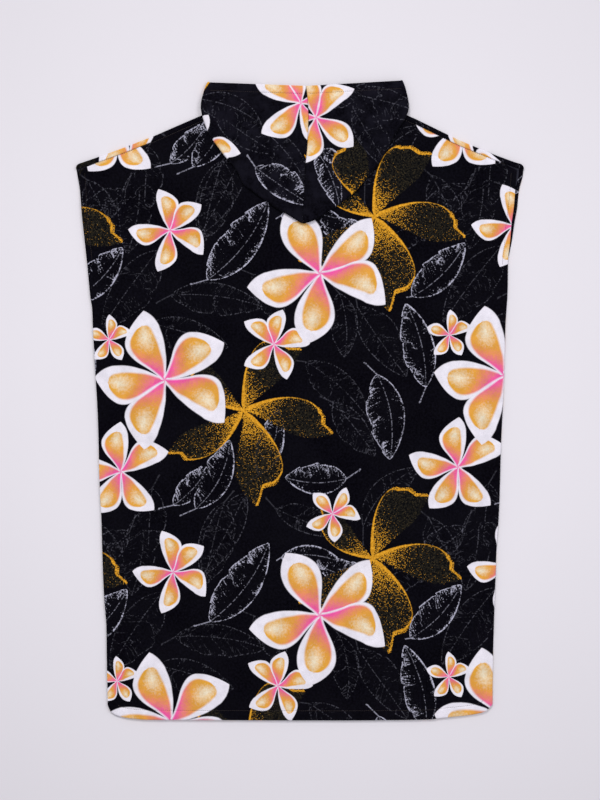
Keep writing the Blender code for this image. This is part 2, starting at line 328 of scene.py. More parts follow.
BACK_CREASES = (
    # path (chart units), width and height (mm)
    (((96, 236), (150, 262), (214, 270), (262, 262)), 16.0, 1.5),
    (((118, 330), (196, 346), (268, 334), (330, 344)), 20.0, 1.3),
    (((352, 300), (402, 322), (452, 316), (492, 330)), 17.0, 1.4),
    (((300, 236), (296, 300), (304, 372), (298, 440)), 22.0, 1.2),
    (((150, 196), (160, 250), (152, 316)), 13.0, 1.1),
    (((430, 196), (446, 238), (440, 296)), 14.0, 1.3),
    (((110, 420), (170, 436), (236, 428)), 16.0, 1.2),
    (((372, 402), (440, 418), (492, 410)), 18.0, 1.1),
    (((120, 520), (200, 506), (292, 518), (352, 510)), 22.0, 1.2),
    (((226, 452), (232, 512), (222, 566), (228, 610)), 15.0, 1.2),
    (((396, 470), (408, 530), (402, 590)), 15.0, 1.3),
    (((128, 610), (184, 622), (252, 612)), 18.0, 1.2),
    (((330, 622), (396, 606), (470, 618)), 18.0, 1.3),
    (((160, 640), (164, 672), (158, 706)), 10.0, 1.5),
    (((232, 660), (236, 684), (232, 710)), 9.0, 1.3),
    (((322, 652), (318, 682), (324, 712)), 10.0, 1.4),
    (((398, 648), (404, 680), (400, 708)), 10.0, 1.4),
    (((462, 640), (458, 668), (463, 700)), 9.0, 1.3),
    (((218, 168), (196, 200), (168, 214)), 9.0, 1.0),
    (((392, 166), (418, 190), (448, 204)), 9.0, 1.0),
    (((270, 238), (262, 262), (240, 284)), 10.0, 0.9),
)


def unevenness(x, y, scale, seed):
    """Gentle irregular hills, about -1 to 1, from a few crossed waves."""
    rng = np.random.default_rng(seed)
    total = np.zeros(np.shape(x))
    for k in range(7):
        angle = rng.uniform(0, math.pi)
        length = scale * rng.uniform(0.7, 1.8)
        phase = rng.uniform(0, 2 * math.pi)
        bend = 0.6 * np.sin(
            (x * math.sin(angle) - y * math.cos(angle)) * 2 * math.pi / (length * 2.3)
            + phase * 1.7
        )
        total += np.sin(
            (x * math.cos(angle) + y * math.sin(angle)) * 2 * math.pi / length
            + phase
            + bend
        )
    return total / 3.2


HOOD_OUTLINE = (
    [(row[1], row[2]) for row in HOOD]
    + [(row[1], row[2]) for row in HOOD_NAPE + HOOD_DROP]
    + [(row[3], row[4]) for row in (HOOD_NAPE + HOOD_DROP)[::-1]]
    + [(row[3], row[4]) for row in HOOD[::-1]]
)


def outside_hood(x, y):
    """Distance outside the hood's outline as laid, negative inside it."""
    poly = np.asarray(HOOD_OUTLINE, float)
    d, _ = distance_to_path(x, y, np.vstack([poly, poly[:1]]))
    inside = np.zeros(np.shape(x), bool)
    for (ax, ay), (bx, by) in zip(poly, np.roll(poly, -1, axis=0)):
        cross = (ay > y) != (by > y)
        at = (bx - ax) * (y - ay) / np.where(by == ay, 1e-9, by - ay) + ax
        inside ^= cross & (x < at)
    return np.where(inside, -d, d)


def back_relief(x, y):
    """Height of the back panel's folds over its flat form, and of its hems."""
    folds = np.zeros(np.shape(x))
    for path, width, height in BACK_CREASES:
        folds = folds + crease(x, y, chart_to_mm(path), width, height)
    folds = folds * 2.0
    folds = folds + 0.75 * (1 + unevenness(x, y, 120.0, 3)) + 0.22 * unevenness(x, y, 38.0, 8)
    folds = np.maximum(folds, 0.0)
    folds = folds * ease(outside_hood(x, y), 3.0, 22.0)
    top = back_top(x)
    folds = folds * ease(top - y, 1.0, 26.0)
    from_left, from_right = x - BACK_LEFT(y), BACK_RIGHT(y) - x
    side = np.minimum(from_left, from_right)
    folds = folds * (0.25 + 0.75 * ease(side, 0.0, 30.0))
    up = y - HEMLINE(x)
    folds = folds * (0.35 + 0.65 * ease(up, 0.0, 40.0))
    # Turned hems: two layers of cloth, pressed in along their stitching.
    pucker = 0.22 * unevenness(x * 3.1, up * 0.4, 26.0, 21)
    hems = (0.8 + pucker) * (1 - ease(up, HEM - 1.5, HEM + 3.0))
    hems = hems - 0.75 * np.exp(-(((up - HEM) / 1.5) ** 2))
    arm = ease(y, 236.0, 262.0)
    pucker = 0.18 * unevenness(y * 2.9, side * 0.4, 24.0, 33)
    hems = hems + arm * (0.6 + pucker) * (1 - ease(side, ARM_HEM - 1.5, ARM_HEM + 3.0))
    hems = hems - arm * 0.6 * np.exp(-(((side - ARM_HEM) / 1.4) ** 2))
    hems = hems * ease(top - y, 0.5, 8.0)
    return folds, hems


FRONT_CREASES = (
    # path, width and depth (mm) of the troughs in the side that lies underneath
    (((-330, 262), (-210, 232), (-80, 246)), 17.0, 0.75),
    (((70, 300), (180, 268), (310, 280)), 19.0, 0.70),
    (((-20, 250), (-34, 120), (-16, -30)), 21.0, 0.80),
    (((-300, 60), (-170, 30), (-70, 48)), 18.0, 0.65),
    (((120, 90), (230, 66), (330, 82)), 16.0, 0.75),
    (((-240, -60), (-226, -190), (-244, -300)), 15.0, 0.70),
    (((60, -140), (170, -120), (300, -150)), 20.0, 0.80),
    (((-330, -340), (-200, -322), (-60, -346)), 18.0, 0.65),
    (((40, -380), (180, -402), (320, -384)), 17.0, 0.75),
    (((-270, -470), (-262, -520), (-272, -570)), 10.0, 0.80),
    (((-60, -480), (-66, -530), (-58, -575)), 9.0, 0.70),
    (((180, -460), (172, -516), (184, -572)), 10.0, 0.80),
    (((290, -486), (284, -530), (292, -574)), 9.0, 0.60),
    (((-300, 420), (-250, 370), (-170, 330)), 12.0, 0.65),
    (((310, 430), (250, 384), (180, 350)), 12.0, 0.70),
)


def front_relief(x, y, side, up):
    """Depth of the soft troughs in the front's underside, and of the lines pressed in
    along its hems. It is flat between them, where it rests."""
    depth = np.zeros(np.shape(x))
    for path, width, deep in FRONT_CREASES:
        depth = depth + crease(x, y, path, width, deep)
    depth = np.minimum(depth, 0.85) * ease(np.minimum(side, up), 1.0, 14.0)
    arm = ease(y, 236.0, 262.0) * (1 - ease(y, 396.0, 412.0))
    low = np.exp(-(((up - HEM) / 1.6) ** 2))
    return depth + 0.45 * np.maximum(low, arm * np.exp(-(((side - ARM_HEM) / 1.8) ** 2)))


HOOD_CREASES = (
    # path (chart units), width and height (mm)
    (((281, 138), (287, 152), (296, 164), (304, 174)), 7.0, -1.5),
    (((270, 140), (276, 156), (286, 170), (298, 184)), 8.0, 1.5),
    (((292, 132), (300, 146), (308, 158)), 6.5, 1.3),
    (((228, 150), (246, 176), (268, 198), (292, 212)), 10.0, 1.6),
    (((216, 132), (232, 160), (252, 184)), 8.0, -0.9),
    (((214, 100), (240, 112), (272, 112)), 11.0, 1.2),
    (((222, 92), (252, 96), (282, 92)), 8.0, -0.7),
    (((334, 92), (362, 98), (392, 94)), 10.0, 1.3),
    (((340, 130), (366, 124), (394, 116)), 9.0, 1.1),
    (((372, 148), (352, 172), (330, 192), (312, 206)), 9.0, 1.5),
    (((384, 136), (366, 158), (346, 178)), 7.0, -0.8),
    (((318, 160), (328, 176), (340, 184)), 7.0, 0.9),
    (((236, 126), (258, 140), (276, 144)), 9.0, 1.0),
)


def hood_relief(x, y, fold_distance, face_distance, tip_distance):
    """Height of the folds of the hood's upper layer, and of the face hem."""
    folds = 1.6 + 0.5 * unevenness(x, y, 80.0, 14) + 0.15 * unevenness(x, y, 30.0, 5)
    for path, width, height in HOOD_CREASES:
        folds = folds + 2.3 * crease(x, y, chart_to_mm(path), width, height)
    folds = np.maximum(folds, -1.2)
    folds = folds * ease(fold_distance, 0.0, 26.0)
    folds = folds * ease(tip_distance, 0.0, 30.0)
    folds = folds * (0.25 + 0.75 * ease(face_distance, 0.0, 45.0))
    pucker = 0.2 * unevenness(x * 3.0, y * 0.5, 24.0, 41)
    hem = (0.7 + pucker) * (1 - ease(face_distance, FACE_HEM - 1.5, FACE_HEM + 3.0))
    hem = hem - 0.7 * np.exp(-(((face_distance - FACE_HEM) / 1.4) ** 2))
    return folds, hem


# =============================================================================
# Shells
# =============================================================================
def grid_faces(rows, columns, first=0):
    r, c = np.meshgrid(np.arange(rows - 1), np.arange(columns - 1), indexing="ij")
    a = (first + r * columns + c).ravel()
    return np.stack([a, a + 1, a + 1 + columns, a + columns], 1)


def corner_normals(points, faces):
    a, b, c, d = (points[faces[:, k]] for k in range(4))
    n = np.cross(c - a, d - b)
    out = np.zeros_like(points)
    for k in range(4):
        np.add.at(out, faces[:, k], n)
    length = np.linalg.norm(out, axis=1, keepdims=True)
    return out / np.where(length == 0, 1, length)


def shell(name, points, faces, charts, outer, inner, slots, rounding=2.6):
    """A closed wall round a mesh of middle points, with its rim rounded off.

    outer and inner are the wall's reach on the two sides of the middle points, in
    mm. charts and slots hold the print's coordinates and each face's material for
    the outer side and for the inner one.
    """
    points = np.asarray(points, float)
    faces = np.asarray(faces, int)
    normals = corner_normals(points, faces)
    edges = np.concatenate([faces[:, [k, (k + 1) % 4]] for k in range(4)])
    keys = np.sort(edges, axis=1)
    _, index, counts = np.unique(keys, axis=0, return_index=True, return_counts=True)
    rim = np.unique(edges[index[counts == 1]])
    from mathutils import kdtree

    tree = kdtree.KDTree(len(rim))
    for i in rim:
        tree.insert(points[i], int(i))
    tree.balance()
    away = np.array([tree.find(p)[2] for p in points])
    share = np.clip(away / rounding, 0.0, 1.0)
    full = np.sqrt(np.maximum(0.0, 1.0 - (1.0 - share) ** 2))[:, None]
    above = points + normals * np.reshape(outer, (-1, 1)) * full
    below = points - normals * np.reshape(inner, (-1, 1)) * full
    is_rim = np.zeros(len(points), bool)
    is_rim[rim] = True
    lower = np.arange(len(points))
    lower[~is_rim] = len(points) + np.arange((~is_rim).sum())
    # A face at a corner has one inner point. It is cut from there to the corner: cut
    # the other way, the wall's two sides would share a triangle.
    inside = ~is_rim[faces]
    cut = inside.sum(axis=1) == 1
    first = np.argmax(inside[cut], axis=1)[:, None]
    ring = np.take_along_axis(faces[cut], (first + np.arange(4)) % 4, axis=1)
    quads = faces[~cut]
    halves = np.concatenate([ring[:, [0, 1, 2]], ring[:, [0, 2, 3]]])
    sides = (quads, quads[:, ::-1], halves, halves[:, ::-1])
    corners = np.concatenate([part.ravel() for part in sides])
    places = (quads, lower[quads][:, ::-1], halves, lower[halves][:, ::-1])
    places = np.concatenate([part.ravel() for part in places])
    sizes = np.concatenate([np.full(len(part), part.shape[1]) for part in sides])
    everything = np.concatenate([above, below[~is_rim]]) * MM
    mesh = bpy.data.meshes.new(name)
    mesh.vertices.add(len(everything))
    mesh.vertices.foreach_set("co", everything.astype(np.float32).ravel())
    mesh.loops.add(len(places))
    mesh.loops.foreach_set("vertex_index", places.astype(np.int32))
    mesh.polygons.add(len(sizes))
    starts = np.cumsum(sizes) - sizes
    mesh.polygons.foreach_set("loop_start", starts.astype(np.int32))
    mesh.polygons.foreach_set("loop_total", sizes.astype(np.int32))
    mesh.update(calc_edges=True)
    mesh.validate()
    over, under = (np.asarray(c, float) for c in charts)
    is_over = np.concatenate([np.full(part.size, k % 2 == 0) for k, part in enumerate(sides)])
    placed = np.where(is_over[:, None], over[corners], under[corners])
    layer = mesh.uv_layers.new(name="Chart")
    layer.data.foreach_set("uv", (placed / 100).astype(np.float32).ravel())
    over, under = (np.broadcast_to(v, len(faces)) for v in slots)
    which = [over[~cut], under[~cut], over[cut], over[cut], under[cut], under[cut]]
    which = np.concatenate(which)
    mesh.polygons.foreach_set("material_index", which.astype(np.int32))
    mesh.shade_smooth()
    obj = bpy.data.objects.new(name, mesh)
    bpy.context.scene.collection.objects.link(obj)
    return obj


# ---- the print's chart -------------------------------------------------------
def body_chart(x, y):
    """Print coordinates (u, -v) of a point of the back, in chart units."""
    px, py = x / 1.83 + 299.75, 400.0 - y / 1.83
    px = px - 3.6 * ease(py, 600.0, 700.0)  # the cloth is pushed over a little there
    grow = 1 + (300 - py) * 7.2e-5
    return np.stack([300 + (px - 300) / grow, -(py + (px - 300) * 0.0138)], -1)


def panel_grid(left, right, top, xs, vs):
    """Points (x, y) of a panel: xs are stations on its top edge, vs go from the hem
    to the top edge. The columns keep their share of the width lower down."""
    xs, vs = np.asarray(xs, float), np.asarray(vs, float)
    y_top = top(xs)
    share = (xs - xs[0]) / (xs[-1] - xs[0])
    low, high = left(SIDES[-1][0]), right(SIDES[-1][0])
    y_low = HEMLINE(low + share * (high - low))
    v = vs[:, None]
    y = y_low + v * (y_top - y_low)
    a, b = left(y), right(y)
    x = a + share * (b - a)
    near = np.maximum(0.0, (v - 0.8) / 0.2) ** 2
    inner = 4 * share * (1 - share)
    x = x + (xs - x) * near * np.minimum(1.0, inner * 6)
    return x, y


def back_panel():
    xs = spaced(-409.5, 409.5, 5.5)
    xs = np.sort(np.concatenate([xs, [NECK_LEFT + 0.6, NECK_LEFT + 1.8, NECK_RIGHT - 1.8, NECK_RIGHT - 0.6]]))
    height = 1110.0
    vs = spaced(0.0, height, 5.3) / height
    hem = np.array([HEM - 3.6, HEM - 2.2, HEM - 1.1, HEM, HEM + 1.1, HEM + 2.4]) / height
    vs = np.unique(np.concatenate([vs, hem]))
    x, y = panel_grid(BACK_LEFT, BACK_RIGHT, back_top, xs, vs)
    folds, hems = back_relief(x, y)
    # The side seams draw the edge down on to the front.
    side = np.minimum(x - BACK_LEFT(y), BACK_RIGHT(y) - x)
    sewn = 1 - ease(y, 236.0, 262.0)
    dip = -0.9 * sewn * (1 - ease(side, 0.0, 3.6))
    dip = dip - 0.7 * (1 - ease(y - HEMLINE(x), 0.0, 3.2))
    z = BACK_Z + folds + dip
    points = np.stack([x.ravel(), y.ravel(), z.ravel()], 1)
    faces = grid_faces(*x.shape)
    outer = CLOTH / 2 + hems.ravel()
    inner = np.full(len(points), CLOTH / 2) + np.minimum(dip.ravel(), 0.0)
    chart = body_chart(points[:, 0], points[:, 1])
    under = body_chart(points[:, 0] + 30, points[:, 1] + 60)
    turned = (y - HEMLINE(x) < HEM) | ((side < ARM_HEM) & (y > 244.0))
    inside = np.where(turned.ravel()[faces].all(axis=1), 0, 1)
    return shell(
        "poncho_back",
        points,
        faces,
        (chart, under),
        outer,
        np.maximum(inner, 0.3),
        (0, inside),
    )


FRONT_SHIFT = (-12.0, -12.0)  # of the front's print against the back's
TURNED_SHIFT = (52.0, -80.0)  # and of the print on its hems, turned to the inside
CORNER = 7.0  # rounding of the shoulders' outer corners


def rounded(x, reach=409.5, radius=CORNER):
    """How far an edge drops towards its rounded end."""
    near = np.clip(radius - (reach - np.abs(x)), 0.0, radius)
    return radius - np.sqrt(np.maximum(0.0, radius**2 - near**2))


def front_panel():
    """The front: flat underneath, with its shoulders rolled over on to the back."""
    neck = [NECK_LEFT] + [neck_x(-1, s) for s in NECK_SHARES]
    neck += [neck_x(1, s) for s in NECK_SHARES[::-1][1:]] + [NECK_RIGHT]
    left = spaced(-409.5, NECK_LEFT, 6.0)
    right = spaced(NECK_RIGHT, 409.5, 6.0)
    mid = []
    for a, b in zip(neck, neck[1:]):
        n = max(1, int(round((b - a) / 5.0)))
        mid += [a + (b - a) * k / n for k in range(n)]
    xs = np.concatenate([left, mid[1:], right])
    height = 1116.0
    vs = spaced(0.0, height, 8.0) / height
    hem = np.array([HEM - 3.2, HEM - 1.2, HEM, HEM + 1.2]) / height
    vs = np.unique(np.concatenate([vs, hem]))
    x, y = panel_grid(FRONT_LEFT, FRONT_RIGHT, lambda e: front_top(e) - rounded(e), xs, vs)
    rows, wide = x.shape
    side = np.minimum(x - FRONT_LEFT(y), FRONT_RIGHT(y) - x)
    up = y - HEMLINE(x)
    sewn = 1 - ease(y, 236.0, 262.0)
    turned = (up < HEM) | ((side < ARM_HEM) & (sewn < 0.6))
    points = [np.stack([x.ravel(), y.ravel(), np.full(x.size, FRONT_Z)], 1)]
    chart = [np.stack([x.ravel(), y.ravel()], 1)]
    faces = [grid_faces(rows, wide)]
    n_left = int(np.searchsorted(xs, NECK_LEFT + 1e-6))
    n_right = int(np.searchsorted(xs, NECK_RIGHT - 1e-6))
    total = rows * wide
    for part in (np.arange(0, n_left), np.arange(n_right, wide)):
        before = (rows - 1) * wide + part
        px, py = x[-1, part], y[-1, part]
        stretch = np.where(np.abs(xs[part]) < 400, slope(xs[part]), 1.0)
        flat_y = py.copy()
        steps = [("turn", math.pi * i / 10) for i in range(1, 11)]
        # The rolled strip narrows into the rounded corner.
        reach = (SHOULDER_ROLL - ROLL_OUT) * (0.3 + 0.7 * ease(409.5 - np.abs(px), 0.0, 9.0))
        steps += [("flat", s) for s in (0.2, 0.45, 0.65, 0.8, 0.9, 0.96, 1.0)]
        yy, zz, run = py, np.full(len(part), FRONT_Z), 0.0
        for kind, amount in steps:
            if kind == "turn":
                yy = py + ROLL * stretch * math.sin(amount)
                zz = np.full(len(part), FRONT_Z + ROLL * (1 - math.cos(amount)))
                run = ROLL * amount
            else:
                yy = py - reach * amount * stretch
                zz = np.full(len(part), BACK_Z)
                run = ROLL * math.pi + reach * amount
            points.append(np.stack([px, yy, zz], 1))
            chart.append(np.stack([px, flat_y + run * stretch], 1))
            after = total + np.arange(len(part))
            total += len(part)
            faces.append(
                np.stack([before[:-1], before[1:], after[1:], after[:-1]], 1)
            )
            before = after
    points, faces, chart = (np.concatenate(c) for c in (points, faces, chart))
    # The printed side is underneath, and on top where the shoulders roll over. The
    # hems are turned to the inside, so that their print shows there.
    chart = body_chart(chart[:, 0], chart[:, 1])
    half = np.full(len(points), CLOTH / 2)
    under = half.copy()
    under[: rows * wide] -= front_relief(x, y, side, up).ravel()
    under = np.maximum(under, 0.3)
    hem = np.zeros(len(points), bool)
    hem[: rows * wide] = turned.ravel()
    inside = np.where(hem[faces].all(axis=1), 0, 1)
    charts = (chart + np.array(TURNED_SHIFT), chart + np.array(FRONT_SHIFT))
    return shell("poncho_front", points, faces, charts, half, under, (inside, 0))


def hood_sections(side):
    """Arrays over the hood half's sections, one row each."""
    apart = side * GAP / 2
    fold = 1 if side < 0 else 3
    neck = NECK_LEFT if side < 0 else NECK_RIGHT
    rows = []

    def add(row, height, middle, corner, end):
        seam = (float(SEAM_X(row[0])) + apart, row[0])
        rows.append([seam, (row[fold], row[fold + 1]), height, middle, corner, end])

    def from_neck(inwards, up):
        return (neck - side * inwards, NECK_Y + up)

    for row in HOOD:
        x = float(SEAM_X(row[5])) + apart
        add(row, NAPE_Z, None, None, (x, row[5]))
    # At the tip the two halves meet on the fold as well.
    rows[0][1] = (float(SEAM_X(321.2)) + apart, 321.2)
    for row in HOOD_NAPE:
        x = NECK_MID + (neck - NECK_MID) * row[5]
        add(row, NAPE_Z, None, None, (x, float(back_top(np.array(x))) + 0.5))
    for row in HOOD_DROP:
        add(row, row[5], *(from_neck(*row[k : k + 2]) for k in (6, 8, 10)))
    for row in THROAT:
        x = neck_x(side, row[5]) + (apart if row[5] == 1.0 else 0.0)
        end = (x, float(front_top(np.array(x))) + GAP)
        add(row, FRONT_Z, *(from_neck(*row[k : k + 2]) for k in (6, 8)), end)
    folds = np.array([r[1] for r in rows], float)
    tangent = np.gradient(folds, axis=0)
    tangent[0] = (side * 1.0, 0.0)
    tangent /= np.linalg.norm(tangent, axis=1, keepdims=True)
    out = np.stack([tangent[:, 1] * side, -tangent[:, 0] * side], 1)
    high = np.linspace(0, 1, len(rows))
    lift = through([0, 0.62, 0.8, 1.0], [CROWN_Z, CROWN_Z, 10.2, 7.0])(high)
    under = np.array([r[2] for r in rows], float)
    radius = (lift - under) / 2
    turn = folds - out * (radius + CLOTH / 2)[:, None]
    seam = np.array([r[0] for r in rows], float)
    end = np.array([r[5] for r in rows], float)
    middle = np.array([r[3] if r[3] else t + (e - t) * 0.55 for r, t, e in zip(rows, turn, end)])
    corner = np.array([r[4] if r[4] else t + (e - t) * 0.80 for r, t, e in zip(rows, turn, end)])
    return {
        "seam": seam,
        "turn": turn,
        "out": out,
        "radius": radius[:, None],
        "lift": lift[:, None],
        "under": under[:, None],
        "middle": middle,
        "corner": corner,
        "end": end,
    }


def hood_half(name, side):
    table = hood_sections(side)
    count = len(table["seam"])
    # Section stations, fine at the tip and at the face opening.
    base = np.linspace(0, count - 1, (count - 1) * 5 + 1)
    base = np.concatenate([[0, 0.03, 0.08, 0.16, 0.28, 0.42], base[base > 0.5]])
    tail = np.array([0.12, 0.26, 0.42, 0.6, 0.75, 0.88, 0.95, 1.0]) + count - 2
    base = np.concatenate([base[base < count - 2 + 0.05], tail])
    ones = np.arange(count)
    s = {
        key: np.stack([through(ones, v[:, k])(base) for k in range(v.shape[1])], 1)
        for key, v in table.items()
    }
    for key in ("middle", "corner", "end", "under"):
        v = table[key]
        s[key] = np.stack([np.interp(base, ones, v[:, k]) for k in range(v.shape[1])], 1)
    s["out"] /= np.linalg.norm(s["out"], axis=1, keepdims=True)
    top = np.concatenate([[0, 0.002, 0.006, 0.012, 0.02, 0.032], np.linspace(0.05, 1.0, 42)])
    fan = np.linspace(0, math.pi, 15)
    legs = (
        ("turn", "middle", np.linspace(0, 1, 19)[1:]),
        ("middle", "corner", np.linspace(0, 1, 8)[1:]),
        ("corner", "end", np.array([0.2, 0.4, 0.6, 0.75, 0.86, 0.93, 0.97, 1.0])),
    )
    seam, turn, out = s["seam"], s["turn"], s["out"]
    radius, lift, under = s["radius"], s["lift"], s["under"]
    along = turn - seam
    reach = np.linalg.norm(along, axis=1, keepdims=True)
    along = along / np.where(reach < 1e-6, 1, reach)
    along[reach[:, 0] < 2.0] = (side, -0.3)
    columns, flat = [], []
    for t in top:
        xy = seam + (turn - seam) * t
        columns.append(np.hstack([xy, lift]))
        flat.append(seam + along * reach * t)
    for angle in fan[1:]:
        xy = turn + out * radius * math.sin(angle)
        z = (lift + under) / 2 + radius * math.cos(angle)
        columns.append(np.hstack([xy, z]))
        flat.append(seam + along * (reach + radius * angle))
    done = reach + radius * math.pi
    for a, b, shares in legs:
        step = s[b] - s[a]
        length = np.linalg.norm(step, axis=1, keepdims=True)
        for t in shares:
            xy = s[a] + step * t
            columns.append(np.hstack([xy, under]))
            flat.append(seam + along * (done + length * t))
        done = done + length
    grid = np.stack(columns, 1)  # rows x columns x 3
    flat = np.stack(flat, 1)
    n_top = len(top)
    x, y = grid[:, :n_top, 0], grid[:, :n_top, 1]
    fold_distance = (1 - top)[None, :] * reach
    face_row = grid[-1, :n_top, :2]
    face_distance, _ = distance_to_path(x, y, face_row)
    tip_distance = np.hypot(x - 5.9, y - 321.0)
    folds, hem = hood_relief(x, y, fold_distance, face_distance, tip_distance)
    # The right half stands a little proud of the left one along the centre seam.
    from_seam = top[None, :] * reach
    proud = 0.9 if side > 0 else -0.35
    along_seam = ease(grid[:, :1, 1], 400.0, 446.0) * (1 - ease(grid[:, :1, 1], 470.0, 500.0))
    folds = folds + proud * along_seam * (1 - ease(from_seam, 0.0, 9.0))
    ridge = 0.55 * np.exp(-(((from_seam - 4.0) / 3.0) ** 2))
    ridge = ridge - 0.5 * (1 - ease(from_seam, 0.0, 2.2))
    folds = folds + ridge * ease(tip_distance, 10.0, 40.0)
    grid[:, :n_top, 2] += folds
    outer = np.full(grid.shape[:2], CLOTH / 2)
    outer[:, :n_top] += np.where(np.isfinite(hem), hem, 0.0)
    if side < 0:
        grid, flat, outer = grid[:, ::-1], flat[:, ::-1], outer[:, ::-1]
    r, c = grid.shape[:2]
    faces = grid_faces(r, c)
    hem_rows = base[faces[:, 0] // c] > count - 1.9
    points = grid.reshape(-1, 3)
    flat = flat.reshape(-1, 2)
    px, py = flat[:, 0] / 1.83 + 299.75, 400.0 - flat[:, 1] / 1.83
    chart = np.stack([px + (1000.0 if side > 0 else 0.0), -py], 1)
    inner = np.full(len(points), CLOTH / 2)
    inside = np.where(hem_rows, 0, 1)
    return shell(name, points, faces, (chart, chart), outer.ravel(), inner, (0, inside), 2.0)


# =============================================================================
# Materials
# =============================================================================
def linear(r, g, b):
    """Scene-linear colour of an 8-bit sRGB one."""
    def one(v):
        v /= 255.0
        return v / 12.92 if v <= 0.04045 else ((v + 0.055) / 1.055) ** 2.4

    return (one(r), one(g), one(b), 1.0)


class Value:
    """A number in a node tree, which takes part in plain arithmetic."""

    def __init__(self, maker, socket):
        self.maker, self.socket = maker, socket

    def _do(self, op, *others, clamp=False):
        return self.maker.math(op, self, *others, clamp=clamp)

    def __add__(self, o):
        return self._do("ADD", o)

    __radd__ = __add__

    def __sub__(self, o):
        return self._do("SUBTRACT", o)

    def __rsub__(self, o):
        return self.maker.math("SUBTRACT", o, self)

    def __mul__(self, o):
        return self._do("MULTIPLY", o)

    __rmul__ = __mul__

    def __truediv__(self, o):
        return self._do("DIVIDE", o)

    def __lt__(self, o):
        return self._do("LESS_THAN", o)

    def __gt__(self, o):
        return self._do("GREATER_THAN", o)

    def abs(self):
        return self._do("ABSOLUTE")

    def min(self, o):
        return self._do("MINIMUM", o)

    def max(self, o):
        return self._do("MAXIMUM", o)

    def times_plus(self, a, b):
        return self._do("MULTIPLY_ADD", a, b)


class Maker:
    def __init__(self, material):
        material.use_nodes = True
        self.tree = material.node_tree
        self.shader = self.tree.nodes["Principled BSDF"]

    def node(self, kind, **settings):
        node = self.tree.nodes.new(kind)
        for key, value in settings.items():
            setattr(node, key, value)
        return node

    def put(self, socket, value):
        if isinstance(value, Value):
            value = value.socket
        if isinstance(value, bpy.types.NodeSocket):
            self.tree.links.new(value, socket)
        else:
            socket.default_value = value

    def math(self, op, *values, clamp=False):
        node = self.node("ShaderNodeMath", operation=op, use_clamp=clamp)
        for socket, value in zip(node.inputs, values):
            self.put(socket, value)
        return Value(self, node.outputs[0])

    def vector(self, op, *values):
        node = self.node("ShaderNodeVectorMath", operation=op)
        for socket, value in zip(node.inputs, values):
            self.put(socket, value)
        return node

    def ramp(self, value, low, high, to_low=0.0, to_high=1.0, smooth=False):
        """Maps low..high to to_low..to_high, clamped."""
        node = self.node(
            "ShaderNodeMapRange",
            clamp=True,
            interpolation_type="SMOOTHSTEP" if smooth else "LINEAR",
        )
        for key, v in zip(
            ("Value", "From Min", "From Max", "To Min", "To Max"),
            (value, low, high, to_low, to_high),
        ):
            self.put(node.inputs[key], v)
        return Value(self, node.outputs[0])

    def mix_colour(self, factor, a, b, mode="MIX"):
        node = self.node("ShaderNodeMix", data_type="RGBA", blend_type=mode)
        self.put(node.inputs[0], factor)
        self.put(node.inputs[6], a)
        self.put(node.inputs[7], b)
        return node.outputs[2]

    def mix_vector(self, factor, a, b):
        node = self.node("ShaderNodeMix", data_type="VECTOR", clamp_factor=True)
        self.put(node.inputs[0], factor)
        self.put(node.inputs[4], a)
        self.put(node.inputs[5], b)
        return node.outputs[1]

    def split(self, vector):
        node = self.node("ShaderNodeSeparateXYZ")
        self.put(node.inputs[0], vector)
        return [Value(self, s) for s in node.outputs]

    def noise(self, vector, scale, detail=1.0, rough=0.5, plane=True):
        node = self.node("ShaderNodeTexNoise", noise_dimensions="2D" if plane else "3D")
        self.put(node.inputs["Vector"], vector)
        self.put(node.inputs["Scale"], scale)
        self.put(node.inputs["Detail"], detail)
        self.put(node.inputs["Roughness"], rough)
        return node

    def curves(self, value, *channels, whole=False):
        """Up to three curves of one value, each a list of (x, y) points."""
        node = self.node("ShaderNodeRGBCurve")
        mapping = node.mapping
        mapping.use_clip = False
        mapping.extend = "HORIZONTAL"
        for channel, points in zip(mapping.curves, channels):
            while len(channel.points) > 2:
                channel.points.remove(channel.points[1])
            channel.points[0].location = points[0]
            channel.points[1].location = points[-1]
            for point in points[1:-1]:
                channel.points.new(*point)
            for p in channel.points:
                p.handle_type = "VECTOR" if len(points) > 18 else "AUTO"
        mapping.update()
        join = self.node("ShaderNodeCombineXYZ")
        for socket in join.inputs:
            self.put(socket, value)
        self.put(node.inputs["Color"], join.outputs[0])
        if whole:
            return node.outputs[0]
        return self.split(node.outputs[0])[: len(channels)]

    def nearest(self, chart, motifs, period):
        """Local coordinates of the motif nearest to the point, in units of its own
        size, and its facts. A motif is (u, v, turn, half length, half width, facts)."""
        best = length = facts = None
        for u, v, turn, a, b, fact in motifs:
            here = chart
            if period:
                wrap = self.vector(
                    "WRAP",
                    chart,
                    (u + period[0] / 2, -v + period[1] / 2, 1.0),
                    (u - period[0] / 2, -v - period[1] / 2, -1.0),
                )
                here = wrap.outputs[0]
            local = self.node("ShaderNodeMapping", vector_type="TEXTURE")
            self.put(local.inputs["Vector"], here)
            self.put(local.inputs["Location"], (u, -v, 0.0))
            self.put(local.inputs["Rotation"], (0.0, 0.0, math.radians(turn)))
            self.put(local.inputs["Scale"], (a, b, 1.0))
            far = Value(self, self.vector("LENGTH", local.outputs[0]).outputs["Value"])
            if best is None:
                best, length = local.outputs[0], far
                facts = self.node("ShaderNodeCombineXYZ")
                for socket, f in zip(facts.inputs, fact):
                    socket.default_value = f
                facts = facts.outputs[0]
            else:
                nearer = far < length
                best = self.mix_vector(nearer, best, local.outputs[0])
                facts = self.mix_vector(nearer, facts, tuple(fact))
                length = length.min(far)
        return best, length, facts


